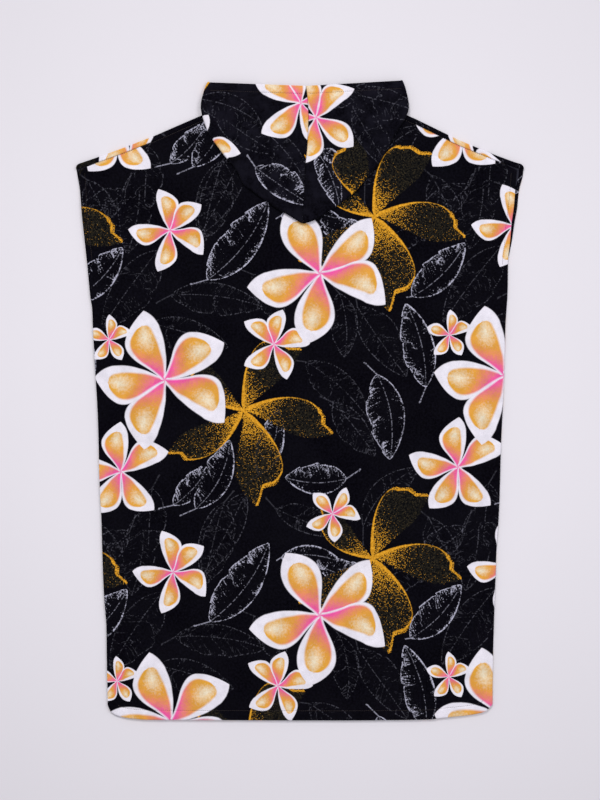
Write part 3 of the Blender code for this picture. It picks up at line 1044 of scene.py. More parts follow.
# How the five petals of a flower differ from each other: in direction (degrees),
# length, bow, breadth, and the lean of the coloured middle.
HABITS = (
    ((-2.0, 1.00, 0.06, 1.00, 0.5), (1.0, 1.03, 0.05, 0.92, 0.6), (-1.0, 0.98, 0.09, 1.06, 0.9),
     (3.0, 0.97, 0.05, 1.02, 0.6), (-3.0, 1.03, -0.06, 0.95, -0.5)),
    ((1.0, 1.01, 0.05, 0.96, 0.7), (-2.0, 0.98, 0.02, 1.04, 0.5), (1.0, 0.99, 0.09, 1.00, 1.0),
     (2.0, 1.02, -0.05, 0.88, -0.6), (2.0, 0.98, -0.02, 1.02, 0.4)),
    ((-2.0, 0.98, 0.05, 1.02, 0.5), (2.0, 1.01, -0.07, 0.96, -0.5), (1.0, 1.03, 0.08, 1.00, 0.9),
     (-4.0, 0.98, 0.06, 1.05, 0.6), (1.0, 1.01, 0.06, 0.97, 0.6)),
    ((2.0, 1.00, 0.06, 1.00, 0.5), (-2.0, 1.00, 0.05, 1.00, 0.6), (0.0, 1.00, 0.06, 1.00, 0.8),
     (-6.0, 0.82, 0.05, 1.20, 0.6), (1.0, 0.90, 0.06, 1.00, 0.6)),
    ((-2.0, 1.00, 0.06, 1.00, 0.5), (-10.0, 0.80, 0.05, 0.86, 0.6), (0.0, 0.90, 0.05, 1.00, 0.8),
     (14.0, 0.90, 0.05, 0.86, 0.6), (8.0, 1.00, -0.05, 1.00, -0.6)),
)


def bloom(u, v, turn, size, habit=0, breadth=0.82):
    """A flower of five petals a fifth of a turn apart, the first one 144 degrees
    clockwise of the flower's own turn."""
    return (u, v, turn, size, breadth, HABITS[habit])


def spoon(breadth, neck, end, reach=1.0, base=0.0):
    """Half breadth of a petal along its length, as points of a curve. It is slimmer
    at its neck the larger neck is, and more pointed at its end the larger end is."""
    widest = neck / (neck + end)
    points = []
    for k in range(16):
        t = 1.0 - (1.0 - k / 15) ** 1.35  # closer together towards the end
        swell = (t / widest) ** neck * ((1 - t) / (1 - widest)) ** end
        points.append((reach * t, base * (1 - t) ** 2 + breadth * swell))
    return points if reach >= 1.0 else points + [(1.0, 0.0)]


# Flowers: centre, turn (degrees counterclockwise) and length of a petal.
FLOWERS_OVER = (
    bloom(171, 229, -36, 41.5, 0),
    bloom(320, 274, -27, 73.0, 1, 0.86),
    bloom(164, 378, -37, 71.5, 2, 0.88),
)
FLOWERS_UNDER = (
    bloom(109, 337, 15, 24.5, 1),
    bloom(274, 344, 1, 36.5, 0),
    bloom(119, 469, 21, 50.5, 2, 0.84),
    bloom(333, 514, -12, 29.0, 1),
)
HOOD_FLOWERS = (
    bloom(301, 104, 4, 50.0, 4, 0.84),
    bloom(191, 153, -2, 50.0, 3, 0.66),
    bloom(1316, 119, 36, 48.0, 1, 0.78),
)

# Gold flowers: centre, turn, mean length of a petal, the one petal that shows (or
# -1 for all), and whether its stippled body does.
GOLD = ((373.6, 217.4, 0.0, 82.0, -1.0, 1.0), (243.0, 409.2, -1.5, 82.0, -1.0, 1.0))
HOOD_GOLD = (
    (1369.0, 205.0, -172.0, 62.0, 2.0, 1.0),
    (223.3, 57.4, 150.0, 112.0, 4.0, 0.0),
    (304.5, 155.5, -158.5, 45.0, 4.0, 0.0),
)

# Leaves: middle (u, v), turn, half length, half breadth, bend, and the side with the
# smooth edge; first the chalky ones and then the ones in thin broken line. The stalk
# stands at the end that the turn points away from.
CHALK_LEAVES = (
    (238.0, 240.0, 52.0, 49.0, 19.0, -0.16, -1),
    (438.0, 272.0, 45.0, 37.0, 16.5, -0.10, -1),
    (416.0, 347.0, 104.0, 43.0, 16.0, -0.10, -1),
    (384.0, 418.0, -81.0, 43.0, 18.5, 0.15, 1),
    (316.0, 478.0, 178.0, 31.0, 15.5, 0.05, 1),
    (212.0, 473.0, 63.0, 38.0, 15.5, -0.25, -1),
    (312.0, 560.0, -6.0, 31.0, 12.5, 0.15, 1),
    (268.0, 441.0, 74.0, 34.0, 13.0, -0.20, -1),
    (190.0, 142.0, 48.0, 27.0, 11.0, -0.10, -1),
    (347.0, 229.0, -12.0, 30.0, 12.0, -0.20, -1),
)
THIN_LEAVES_A = (
    (217.0, 300.0, -8.0, 46.0, 16.0, 0.10, 1),
    (101.0, 203.0, -150.0, 30.0, 14.0, 0.15, 1),
    (382.0, 343.0, -55.0, 43.0, 18.0, 0.15, -1),
    (131.0, 287.0, -127.0, 47.0, 20.0, 0.12, -1),
    (338.0, 392.0, -43.0, 44.0, 17.0, 0.10, 1),
    (223.0, 533.0, -118.0, 46.0, 17.0, -0.12, 1),
    (309.0, 522.0, -22.0, 36.0, 13.0, 0.15, -1),
    (404.0, 238.0, 20.0, 42.0, 17.0, 0.20, 1),
)
THIN_LEAVES_B = (
    (190.0, 334.0, -18.0, 40.0, 17.0, -0.12, 1),
    (213.0, 201.0, -104.0, 42.0, 18.0, 0.12, -1),
    (134.0, 210.0, -98.0, 42.0, 17.0, 0.12, 1),
    (342.0, 326.0, -85.0, 32.0, 14.0, 0.12, 1),
    (355.0, 430.0, -52.0, 34.0, 14.0, -0.12, 1),
    (148.0, 520.0, -94.0, 34.0, 14.0, 0.15, -1),
    (392.0, 498.0, 46.0, 40.0, 15.0, 0.38, 1),
    (446.0, 210.0, -64.0, 36.0, 15.0, -0.15, 1),
    (268.0, 300.0, -60.0, 30.0, 12.0, 0.15, 1),
)
HOOD_CHALK = (
    (283.0, 187.0, -34.0, 33.0, 15.0, 0.20, -1),
    (1328.0, 180.0, -68.0, 31.0, 10.0, 0.10, 1),
    (1330.0, 158.0, -24.0, 12.0, 7.0, 0.10, 1),
)
HOOD_THIN = (
    (230.0, 113.0, -22.0, 34.0, 15.0, 0.12, 1),
    (246.0, 134.0, -34.0, 36.0, 16.0, 0.10, -1),
    (286.0, 160.0, -52.0, 34.0, 14.0, 0.10, 1),
    (1384.0, 104.0, -14.0, 36.0, 16.0, -0.12, 1),
    (1372.0, 140.0, -58.0, 36.0, 14.0, 0.10, -1),
    (1346.0, 96.0, 30.0, 24.0, 11.0, 0.10, 1),
)


def paint_leaves(m, colour, chart, leaves, period, grit, patch, grain, chalky):
    motifs = [
        (u, v, t, a, b, (a, b, bend + (2.0 if side > 0 else -2.0)))
        for u, v, t, a, b, bend, side in leaves
    ]
    local, far, facts = m.nearest(chart, motifs, period)
    x, y, _ = m.split(local)
    a, b, both = m.split(facts)
    side = m.math("SIGN", both)
    bend = both - side * 2.0
    bowed = (y - bend * (1.0 - x * x)) * side  # positive on the side with the smooth edge
    inside = (1.0 - x * x).max(0.0)
    profile = m.math("POWER", inside, 0.80) * x.times_plus(-0.16, 1.0)
    across = bowed.abs()
    smooth = m.ramp(bowed, -0.03, 0.03)
    # The other edge is cut into lobes, each of them full at its start.
    order = x * 1.55 - across * 0.34 + (patch - 0.5) * 0.9 + (a * 0.37 + 0.2)
    lobe = m.math("FRACT", order)
    notch = m.ramp(lobe, 0.0, 0.15, 0.46, 0.0, smooth=True) + m.ramp(lobe, 0.40, 1.0, 0.0, 0.14)
    edge = profile * (1.0 - notch * (1.0 - smooth))
    depth = (edge - across) * b  # in from the outline, in chart units
    within = (x.abs() < 1.0) * (depth > -0.6)
    cut = (lobe.min(1.0 - lobe)) * a * 0.60  # from the nearest notch, in chart units
    # Short strokes run from the outline inwards, along the side veins.
    join = m.node("ShaderNodeCombineXYZ")
    m.put(join.inputs[0], x * a - across * b * 0.35 + b * 7.0)
    m.put(join.inputs[1], bowed * b * 0.16)
    streak = Value(m, m.noise(join.outputs[0], 0.62, 1.0, 0.7).outputs[0])
    # The stalk leaves the leaf's end towards the lobed side.
    past = (x * -1.0 - 1.0) * a
    swing = (bowed * b + past * 0.62).abs()
    stalk = m.ramp(swing, 0.35, 0.95, 1.0, 0.0) * (past > -1.0) * (past < 13.0)
    knob = m.math("SQRT", (past - 13.0) * (past - 13.0) + swing * swing)
    stalk = stalk.max(m.ramp(knob, 0.8, 1.5, 1.0, 0.0)) * m.ramp(grit, 0.34, 0.5, 0.2, 1.0)
    if chalky:
        width = m.ramp(patch, 0.40, 0.62, 0.1, 1.0) * m.ramp(x, -0.9, 0.2, 0.4, 1.0)
        rough = depth.abs() + (grit - 0.5) * 2.6 + (streak - 0.5) * 1.8
        rim = m.ramp(rough, width * 0.25, width + 0.35, 1.0, 0.0) * smooth
        rim = rim * m.ramp(patch, 0.36, 0.52, 0.35, 1.0)
        thin = m.ramp(depth.abs() + (grit - 0.5) * 1.8, 0.1, 0.55, 0.9, 0.0) * (1.0 - smooth)
        line = rim.max(thin) * within
        # Speckled strokes fade from the lobed edge, and from the notches, inwards.
        level = m.ramp(depth, 0.0, 9.0, 0.47, 0.66) + m.ramp(lobe, 0.05, 0.8, -0.05, 0.05)
        level = level + smooth * 0.09 - m.ramp(patch, 0.38, 0.62, -0.06, 0.05)
        speck = grain * 0.5 + streak * 0.5
        hatch = m.ramp(speck - level, -0.01, 0.13, 0.0, 0.85) * within * (depth > -0.5)
        slit = m.ramp(cut, 0.25, 0.95, 0.85, 0.0) * m.ramp(depth, 0.0, 8.0, 1.0, 0.0)
        slit = slit * (1.0 - smooth) * within * m.ramp(grit, 0.36, 0.5, 0.2, 1.0)
        rib = m.ramp((bowed * b - inside * b * 0.26).abs(), 0.15, 0.6, 0.42, 0.0) * within
        rib = rib * m.ramp(grit, 0.42, 0.58, 0.0, 1.0)
        mark = line.max(hatch).max(slit).max(rib).max(stalk * 0.6) * (far < 1.7)
        strength = 0.80
    else:
        line = m.ramp(depth.abs(), 0.20, 0.7, 1.0, 0.0) * within
        line = line * m.ramp(grit, 0.46, 0.62, 0.0, 1.0)
        vein = m.ramp(cut, 0.2, 0.65, 0.8, 0.0) * within * (depth > 0.0)
        cycle = m.math("PINGPONG", x * a - across * b * 0.8, 3.4)
        fan = m.ramp(cycle, 0.2, 0.6, 0.6, 0.0) * (depth > 0.0) * m.ramp(patch, 0.50, 0.62, 0.0, 0.8)
        fine = m.ramp(streak - m.ramp(depth, 0.0, 7.0, 0.56, 0.70), 0.0, 0.07, 0.0, 0.45)
        fine = fine * (depth > 0.0) * m.ramp(patch, 0.48, 0.58, 0.0, 1.0)
        rib = m.ramp((bowed * b - inside * b * 0.2).abs(), 0.25, 0.6, 0.9, 0.0) * within
        broken = m.ramp(grit, 0.44, 0.62, 0.0, 1.0)
        mark = line.max((rib.max(vein).max(fan)) * broken).max(fine).max(stalk * 0.5)
        mark = mark * (far < 1.7)
        strength = 0.108
    return m.mix_colour(mark * strength, colour, linear(206, 206, 226))


# Petals of a gold flower: direction, length, and the shares of three forms of
# outline in it. They stand in their order round the flower, from its -180 degrees.
GOLD_SECTORS = (-165.0, -98.0, -30.0, 40.0, 108.0)
GOLD_PETALS = (
    (136.0, 0.88, (1.0, 0.0, 0.0)),
    (-150.0, 1.06, (1.0, 0.0, 0.0)),
    (-81.0, 1.18, (0.0, 1.0, 0.0)),
    (-14.0, 1.14, (0.8, 0.2, 0.0)),
    (47.0, 1.02, (0.0, 0.3, 0.7)),
    (136.0, 0.88, (1.0, 0.0, 0.0)),
)


def folded_edge(breadth, widest, fold):
    """Height of a petal's drawn edge over its axis: it swells out, falls at the
    fold near the tip, and then runs out along the curled tip."""
    points = []
    for k in range(17):
        s = k / 16
        rise = breadth * math.sin(0.5 * math.pi * min(1.0, s / widest)) ** 0.95
        sink = 1.0 - 0.34 * max(0.0, (s - widest) / (fold - widest)) ** 2
        curl = 0.30 * breadth * max(0.0, (1.0 - s) / (1.0 - fold)) ** 0.8
        points.append((s, rise * sink if s < fold else curl))
    points += [(fold - 0.006, breadth * 0.66), (fold + 0.006, breadth * 0.32)]
    return sorted(points)


def low_edge(breadth, widest):
    """How far a petal's stippled body goes beyond its axis on the other side."""
    power = math.log(0.5) / math.log(widest)
    return [(k / 10, breadth * math.sin(math.pi * (k / 10) ** power)) for k in range(11)]


GOLD_EDGES = (folded_edge(0.26, 0.58, 0.85), folded_edge(0.33, 0.63, 0.79), folded_edge(0.45, 0.72, 0.89))
GOLD_BODIES = (low_edge(0.10, 0.66), low_edge(0.16, 0.64), low_edge(0.04, 0.55))


def paint_gold(m, colour, chart, flowers, period, dot, luck, grit):
    motifs = [(u, v, t, r, r, (only, body, 0.0)) for u, v, t, r, only, body in flowers]
    local, far, facts = m.nearest(chart, motifs, period)
    x, y, _ = m.split(local)
    only, full, _ = m.split(facts)
    turn = m.math("ARCTAN2", y, x) * (180 / math.pi)
    upward = y
    index = None
    for bound in GOLD_SECTORS:
        past = turn > bound
        index = past if index is None else index + past
    pick = index * (50 / 255)
    xs = [k * 50 / 255 for k in range(6)]
    angle, size = m.curves(
        pick,
        [(px, p[0] / 360 + 0.5) for px, p in zip(xs, GOLD_PETALS)],
        [(px, p[1] * 0.5) for px, p in zip(xs, GOLD_PETALS)],
    )
    shares = m.curves(
        pick,
        *[[(px, p[2][k] * 0.5) for px, p in zip(xs, GOLD_PETALS)] for k in range(3)],
        whole=True,
    )
    spin = m.node("ShaderNodeVectorRotate", rotation_type="Z_AXIS")
    m.put(spin.inputs["Vector"], local)
    m.put(spin.inputs["Angle"], (0.5 - angle) * (2 * math.pi))
    x, y, _ = m.split(spin.outputs[0])
    s, w = x / (size * 2.0), y / (size * 2.0)

    def height(at, forms):
        found = m.curves(at, *forms, whole=True)
        return Value(m, m.vector("DOT_PRODUCT", found, shares).outputs["Value"]) * 2.0

    edge = height(s, GOLD_EDGES)
    before, after = height(s - 0.011, GOLD_EDGES), height(s + 0.011, GOLD_EDGES)
    low = height(s, GOLD_BODIES)
    shown = ((only < 0.0) + ((index - only).abs() < 0.5)).min(1.0)
    run = (s > 0.0) * (s < full.times_plus(0.62, 0.38)) * shown
    thick = m.ramp(s, 0.05, 0.45, 0.015, 0.0012) + m.ramp(s, 0.72, 0.82, 0.0, 0.0020)
    thick = thick * full.times_plus(0.45, 0.55) + (grit - 0.5) * 0.007
    above = before.max(after) + thick - w
    under = w - before.min(after) + thick
    line = m.ramp(above.min(under), -0.004, 0.004, 0.0, 1.0) * run
    line = line * m.ramp(dot - m.ramp(s, 0.3, 0.9, 0.9, 0.55), -0.05, 0.15, 1.0, 0.25)
    depth = edge - w  # how far below the drawn edge, in petal lengths
    body = m.ramp(depth, -0.002, 0.004) * m.ramp(w + low + (grit - 0.5) * 0.05, -0.006, 0.006) * run * full
    # Stippled dots, dense near the flower's middle and along the drawn edge.
    dense = m.ramp(s, 0.05, 0.45, 1.0, 0.13) + m.ramp(depth, 0.0, 0.06, 0.24, 0.0)
    dense = dense - m.ramp(s, 0.40, 0.76, 0.0, 0.13) - m.ramp(depth, 0.06, 0.32, 0.0, 0.08)
    # The petals that point down are the richer ones.
    dense = dense + m.ramp(upward, -0.28, 0.0, 0.16, 0.0) * (only < 0.0)
    reach = dense.times_plus(0.36, 0.20)
    dots = m.ramp(reach - dot, -0.08, 0.08) * m.ramp(dense - luck, -0.03, 0.05)
    few = m.ramp(0.42 - dot, -0.08, 0.08) * m.ramp(dense + 0.30 - luck, -0.05, 0.10, 0.0, 0.30)
    tone = m.mix_colour(m.ramp(grit, 0.4, 0.65, 0.0, 1.0), linear(206, 144, 34), linear(236, 172, 50))
    bare = m.mix_colour(m.ramp(grit, 0.40, 0.62, 0.0, 1.0), linear(9, 9, 12), linear(30, 28, 24))
    under = m.mix_colour(body * 0.96, colour, bare)
    dull = m.mix_colour(body * few, under, linear(94, 82, 54))
    gold = m.mix_colour(body * dots, dull, tone)
    # The tip curls over into a small stippled tail.
    tail_edge = height(s - 0.035, GOLD_EDGES)
    share = (w - edge) / (tail_edge - edge).max(0.004)
    tail = (share > 0.0) * (share < 1.0) * m.ramp(s, 0.76, 0.80) * run
    tail_dots = m.ramp(0.62 - share * 0.25 - dot, -0.08, 0.08)
    gold = m.mix_colour(tail * tail_dots, gold, tone)
    return m.mix_colour(line, gold, tone)


def paint_flowers(m, colour, chart, flowers, period, grain, fine):
    motifs, table = [], []
    for k, (u, v, turn, size, breadth, habits) in enumerate(flowers):
        motifs.append((u, v, turn, size, size, (5.0 * k, 0.0, 0.0)))
        # A petal's direction is that of its tip, to which its bow brings it back.
        table += [
            (d + 74.5 * bow, long, bow, broad * breadth, lean)
            for d, long, bow, broad, lean in habits
        ]
    local, far, facts = m.nearest(chart, motifs, period)
    first, _, _ = m.split(facts)
    x, y, _ = m.split(local)
    # A point lies between the axes of two petals, of which the first is on top.
    turn = m.math("ARCTAN2", y, x) * (5 * 0.5 / math.pi) + 2.0
    low = m.math("FLOOR", turn).min(4.0).max(-1.0)
    upper, lower = low + (low < 0.0) * 5.0, low + 1.0
    lower = lower - (lower > 4.5) * 5.0
    args = (m, local, first, table, grain, fine)
    (above, tint), (below, other) = (paint_petal(*args, k) for k in (upper, lower))
    flower = m.mix_colour(above, other, tint)
    return m.mix_colour(above.max(below), colour, flower)


def paint_petal(m, local, first, table, grain, fine, petal):
    """The mask and the colour of one petal of a flower."""
    pick = (first + petal) * (5 / 255)
    xs = [5 * k / 255 for k in range(len(table))]
    d_turn, size, bow = m.curves(
        pick,
        [(px, t[0] / 100 + 0.5) for px, t in zip(xs, table)],
        [(px, t[1] * 0.5) for px, t in zip(xs, table)],
        [(px, t[2] + 0.5) for px, t in zip(xs, table)],
    )
    broad, lean = m.curves(
        pick,
        [(px, t[3] * 0.5) for px, t in zip(xs, table)],
        [(px, t[4] * 0.4 + 0.5) for px, t in zip(xs, table)],
    )
    base = (petal - 2.0) * math.radians(72) + (d_turn - 0.5) * math.radians(100)
    spin = m.node("ShaderNodeVectorRotate", rotation_type="Z_AXIS")
    m.put(spin.inputs["Vector"], local)
    m.put(spin.inputs["Angle"], base * -1.0)
    px, py, _ = m.split(spin.outputs[0])
    s, w = px / (size * 2.0), py / (size * 2.0)
    # Half breadth of the petal, of its coloured middle, and the shape of its bow.
    outline, middle, bend = m.curves(
        s,
        spoon(0.306, 1.50, 0.95, base=0.046),
        spoon(0.218, 1.28, 0.58, reach=0.815, base=0.014),
        [(0, 0.5), (0.2, 0.62), (0.45, 0.92), (0.6, 0.96), (0.75, 0.74), (0.88, 0.40), (1.0, 0.0)],
    )
    bend = (bend - 0.5) * 2.0  # out to one side, and back past the axis at the tip
    w = w - (bow - 0.5) * 1.3 * bend
    run = (s > 0.0) * (s < 1.0)
    breadth = broad * 2.0
    white = m.ramp(outline * breadth - w.abs(), -0.004, 0.010, 0.0, 1.0) * run
    slip = (lean - 0.5) * 2.5
    inner_w = w - slip * bend * 0.034
    reach = middle * breadth
    colour_in = m.ramp(reach - inner_w.abs(), -0.012, 0.020, 0.0, 1.0) * run
    v = inner_w / reach.max(0.01)
    # Colour along the petal, pinker on the side to which the middle leans.
    shift = v * slip * 0.20 + m.ramp(v.abs(), 0.6, 1.0, 0.0, 0.06)
    along = s - shift + (fine - 0.5) * 0.24
    hue = m.node("ShaderNodeValToRGB")
    stops = (
        (0.0, linear(241, 84, 168)),
        (0.115, linear(239, 99, 156)),
        (0.21, linear(234, 124, 134)),
        (0.33, linear(232, 142, 102)),
        (0.45, linear(228, 161, 72)),
        (0.68, linear(229, 168, 62)),
        (1.0, linear(232, 172, 70)),
    )
    while len(hue.color_ramp.elements) < len(stops):
        hue.color_ramp.elements.new(0.5)
    for element, (at, tint) in zip(hue.color_ramp.elements, stops):
        element.position, element.color = at, tint
    m.put(hue.inputs[0], along)
    tint = hue.outputs[0]
    # The pale light in the petal's middle, sprayed on with a grainy border.
    ds = (s - 0.655) * 4.3
    dv = (v + slip * 0.42) * 1.30
    spot = m.math("SQRT", ds * ds + dv * dv) + (fine - 0.5) * 1.1
    glow = m.ramp(spot, 0.0, 1.05, 0.92, 0.0)
    tint = m.mix_colour(glow, tint, linear(242, 232, 206))
    paper = m.mix_colour(m.ramp(grain, 0.35, 0.7, 0.0, 0.4), linear(236, 232, 242), linear(243, 240, 247))
    return white, m.mix_colour(colour_in, paper, tint)


def velour(name, over, under, gold, chalk, thin, period, lift=1.0):
    material = bpy.data.materials.new(name)
    m = Maker(material)
    place = m.node("ShaderNodeUVMap", uv_map="Chart")
    grown = m.vector("SCALE", place.outputs[0])
    grown.inputs["Scale"].default_value = 100.0
    plain = grown.outputs[0]
    # The pile makes every printed edge a little uneven.
    nap = m.noise(plain, 1.5, 1.0)
    shake = m.vector("SUBTRACT", nap.outputs["Color"], (0.5, 0.5, 0.5)).outputs[0]
    scaled = m.vector("SCALE", shake)
    scaled.inputs["Scale"].default_value = 0.6
    chart = m.vector("ADD", plain, scaled.outputs[0]).outputs[0]
    grit = Value(m, m.noise(plain, 0.50, 1.0, 0.5).outputs[0])
    patch = Value(m, m.noise(plain, 0.075, 2.0, 0.6).outputs[0])
    grain = Value(m, m.noise(plain, 0.68, 1.0, 0.45).outputs[0])
    fine = Value(m, m.noise(plain, 0.43, 2.0, 0.7).outputs[0])
    stipple = m.node("ShaderNodeTexVoronoi", feature="F1", voronoi_dimensions="2D")
    m.put(stipple.inputs["Vector"], plain)
    stipple.inputs["Scale"].default_value = 0.90
    dot = Value(m, stipple.outputs["Distance"])
    luck = m.split(stipple.outputs["Color"])[0]
    cloud = Value(m, m.noise(plain, 0.022, 3.0, 0.6).outputs[0])
    ground = m.mix_colour(m.ramp(cloud, 0.3, 0.7), linear(2, 1, 5), linear(8, 7, 13))
    # Mottled tone of the pile; on the hood (lift over 1) it is painted stronger, as painted light on its pile
    ground = m.mix_colour(m.ramp(fine, 0.35, 0.75, 0.0, 0.5 * lift), ground, linear(19, 18, 28))
    if lift > 1.0:  # painted light: the hood's pile lies the other way, so its ground is painted lighter in patches, where it catches more light
        sheen_patches = Value(m, m.noise(plain, 0.055, 3.0, 0.65).outputs[0])
        ground = m.mix_colour(m.ramp(sheen_patches, 0.42, 0.66, 0.0, 0.95), ground, linear(20, 19, 28))
    colour = ground
    for leaves in thin:
        colour = paint_leaves(m, colour, chart, leaves, period, grit, patch, grain, False)
    colour = paint_leaves(m, colour, chart, chalk, period, grit, patch, grain, True)
    colour = paint_gold(m, colour, chart, gold, period, dot, luck, grit)
    if under:
        colour = paint_flowers(m, colour, chart, under, period, grain, fine)
    colour = paint_flowers(m, colour, chart, over, period, grain, fine)
    # Nap: painted shade and sheen. The colour is made darker and lighter by the fine pile and by patches of pile
    # that lies this way and that, the same noises that raise the bump.
    solid = m.node("ShaderNodeTexCoord").outputs["Object"]
    pile = Value(m, m.noise(solid, 900.0, 2.0, 0.6, plane=False).outputs[0])
    brushed = Value(m, m.noise(solid, 55.0, 3.0, 0.6, plane=False).outputs[0])
    tone = m.ramp(brushed, 0.3, 0.7, 0.90, 1.06)
    speck = m.ramp(pile, 0.3, 0.7, 0.88, 1.07)
    both = tone * speck
    shade = m.node("ShaderNodeCombineColor")
    for socket in shade.inputs[:3]:
        m.put(socket, both)
    colour = m.mix_colour(1.0, colour, shade.outputs[0], mode="MULTIPLY")
    m.put(m.shader.inputs["Base Color"], colour)
    m.put(m.shader.inputs["Roughness"], m.ramp(brushed, 0.3, 0.7, 0.86, 0.98))
    m.shader.inputs["Specular IOR Level"].default_value = 0.04
    m.shader.inputs["Sheen Weight"].default_value = 0.10
    m.shader.inputs["Sheen Roughness"].default_value = 0.22
    m.shader.inputs["Sheen Tint"].default_value = (0.80, 0.82, 0.92, 1.0)
    bump = m.node("ShaderNodeBump")
    bump.inputs["Strength"].default_value = 0.6
    bump.inputs["Distance"].default_value = 0.0009
    m.put(bump.inputs["Height"], pile * 0.7 + brushed * 0.6)
    m.put(m.shader.inputs["Normal"], bump.outputs[0])
    return material


def loops(name):
    """The unprinted side: uncut terry loops."""
    material = bpy.data.materials.new(name)
    m = Maker(material)
    solid = m.node("ShaderNodeTexCoord").outputs["Object"]
    cell = m.node("ShaderNodeTexVoronoi", feature="F1")
    m.put(cell.inputs["Vector"], solid)
    cell.inputs["Scale"].default_value = 620.0
    near = Value(m, cell.outputs["Distance"])
    cloud = Value(m, m.noise(solid, 60.0, 3.0, 0.6, plane=False).outputs[0])
    dark = m.mix_colour(m.ramp(cloud, 0.3, 0.7), linear(24, 23, 33), linear(44, 43, 56))
    # Painted highlight: each loop is lighter towards its middle, where the bump raises it most.
    colour = m.mix_colour(m.ramp(near, 0.0, 0.6, 0.5, 0.0), dark, linear(70, 69, 84))
    m.put(m.shader.inputs["Base Color"], colour)
    m.put(m.shader.inputs["Roughness"], m.ramp(cloud, 0.3, 0.7, 0.88, 0.98))
    m.shader.inputs["Specular IOR Level"].default_value = 0.15
    m.shader.inputs["Sheen Weight"].default_value = 0.10
    m.shader.inputs["Sheen Roughness"].default_value = 0.5
    bump = m.node("ShaderNodeBump")
    bump.inputs["Strength"].default_value = 0.8
    bump.inputs["Distance"].default_value = 0.0012
    m.put(bump.inputs["Height"], 1.0 - near)
    m.put(m.shader.inputs["Normal"], bump.outputs[0])
    return material


def thread(name):
    """Matt brown-grey polyester thread, two-ply."""
    material = bpy.data.materials.new(name)
    m = Maker(material)
    solid = m.node("ShaderNodeTexCoord").outputs["Object"]
    ply = m.node("ShaderNodeTexWave", wave_type="BANDS", bands_direction="DIAGONAL")
    m.put(ply.inputs["Vector"], solid)
    ply.inputs["Scale"].default_value = 900.0
    twist = Value(m, ply.outputs["Fac"])
    # Painted shade: the thread is darker in the grooves of its twist and lighter on its plies, where the bump is
    # high.
    colour = m.mix_colour(twist, linear(33, 28, 30), linear(72, 60, 56))
    m.put(m.shader.inputs["Base Color"], colour)
    m.put(m.shader.inputs["Roughness"], m.ramp(twist, 0.0, 1.0, 0.5, 0.7))
    m.shader.inputs["Specular IOR Level"].default_value = 0.35
    bump = m.node("ShaderNodeBump")
    bump.inputs["Strength"].default_value = 0.4
    bump.inputs["Distance"].default_value = 0.0002
    m.put(bump.inputs["Height"], twist)
    m.put(m.shader.inputs["Normal"], bump.outputs[0])
    return material


def floor_paper(name):
    material = bpy.data.materials.new(name)
    m = Maker(material)
    solid = m.node("ShaderNodeTexCoord").outputs["Object"]
    cloud = Value(m, m.noise(solid, 2.0, 2.0, 0.5, plane=False).outputs[0])
    colour = m.mix_colour(m.ramp(cloud, 0.2, 0.8), (0.795, 0.772, 0.815, 1), (0.808, 0.785, 0.828, 1))
    # Painted shade: the paper's colour is darkened away from its middle, for the light that falls off towards the
    # corners.
    away = Value(m, m.vector("LENGTH", solid).outputs["Value"])
    dull = m.node("ShaderNodeCombineColor")
    for socket in dull.inputs[:3]:
        m.put(socket, m.ramp(away, 0.48, 0.95, 1.0, 0.90))
    colour = m.mix_colour(1.0, colour, dull.outputs[0], mode="MULTIPLY")
    m.put(m.shader.inputs["Base Color"], colour)
    m.shader.inputs["Roughness"].default_value = 0.8
    m.shader.inputs["Specular IOR Level"].default_value = 0.2
    return material


# =============================================================================
# Stitching
# =============================================================================
def stitches(name, paths, length=2.7, pitch=3.5, radius=0.27):
    """Machine stitches along paths of surface points, as one mesh. Each stitch is
    a short bent thread whose ends dip into the cloth."""
    sides, rings = 7, 6
    verts, faces = [], []
    for path in paths:
        path = np.asarray(path, float)
        step = np.linalg.norm(np.diff(path, axis=0), axis=1)
        run = np.concatenate([[0.0], np.cumsum(step)])
        keep = np.concatenate([[True], step > 1e-9])
        path, run = path[keep], run[keep]
        at = np.arange(pitch, run[-1] - pitch, pitch)
        for k, start in enumerate(at):
            wobble = 0.12 * math.sin(k * 2.4) + 0.08 * math.sin(k * 5.1)
            spots = start + np.linspace(0, length, rings)
            line = np.stack([np.interp(spots, run, path[:, j]) for j in range(3)], 1)
            along = line[-1] - line[0]
            along /= np.linalg.norm(along)
            across = np.cross((0, 0, 1), along)
            across /= np.linalg.norm(across)
            up = np.cross(along, across)
            t = np.linspace(0, 1, rings)
            rise = 0.26 * np.sin(np.pi * t) - 0.14
            fat = radius * np.sqrt(np.maximum(0.3, np.sin(np.pi * (0.1 + 0.8 * t))))
            first = len(verts)
            for i in range(rings):
                centre = line[i] + up * rise[i] + across * wobble
                for q in range(sides):
                    angle = 2 * math.pi * q / sides
                    verts.append(
                        centre + (across * math.cos(angle) + up * math.sin(angle)) * fat[i]
                    )
            for i in range(rings - 1):
                for q in range(sides):
                    a = first + i * sides + q
                    b = first + i * sides + (q + 1) % sides
                    faces.append((a, b, b + sides, a + sides))
            faces.append(tuple(first + q for q in range(sides))[::-1])
            last = first + (rings - 1) * sides
            faces.append(tuple(last + q for q in range(sides)))
    mesh = bpy.data.meshes.new(name)
    mesh.from_pydata([tuple(v * MM) for v in verts], [], faces)
    mesh.shade_smooth()
    obj = bpy.data.objects.new(name, mesh)
    bpy.context.scene.collection.objects.link(obj)
    return obj


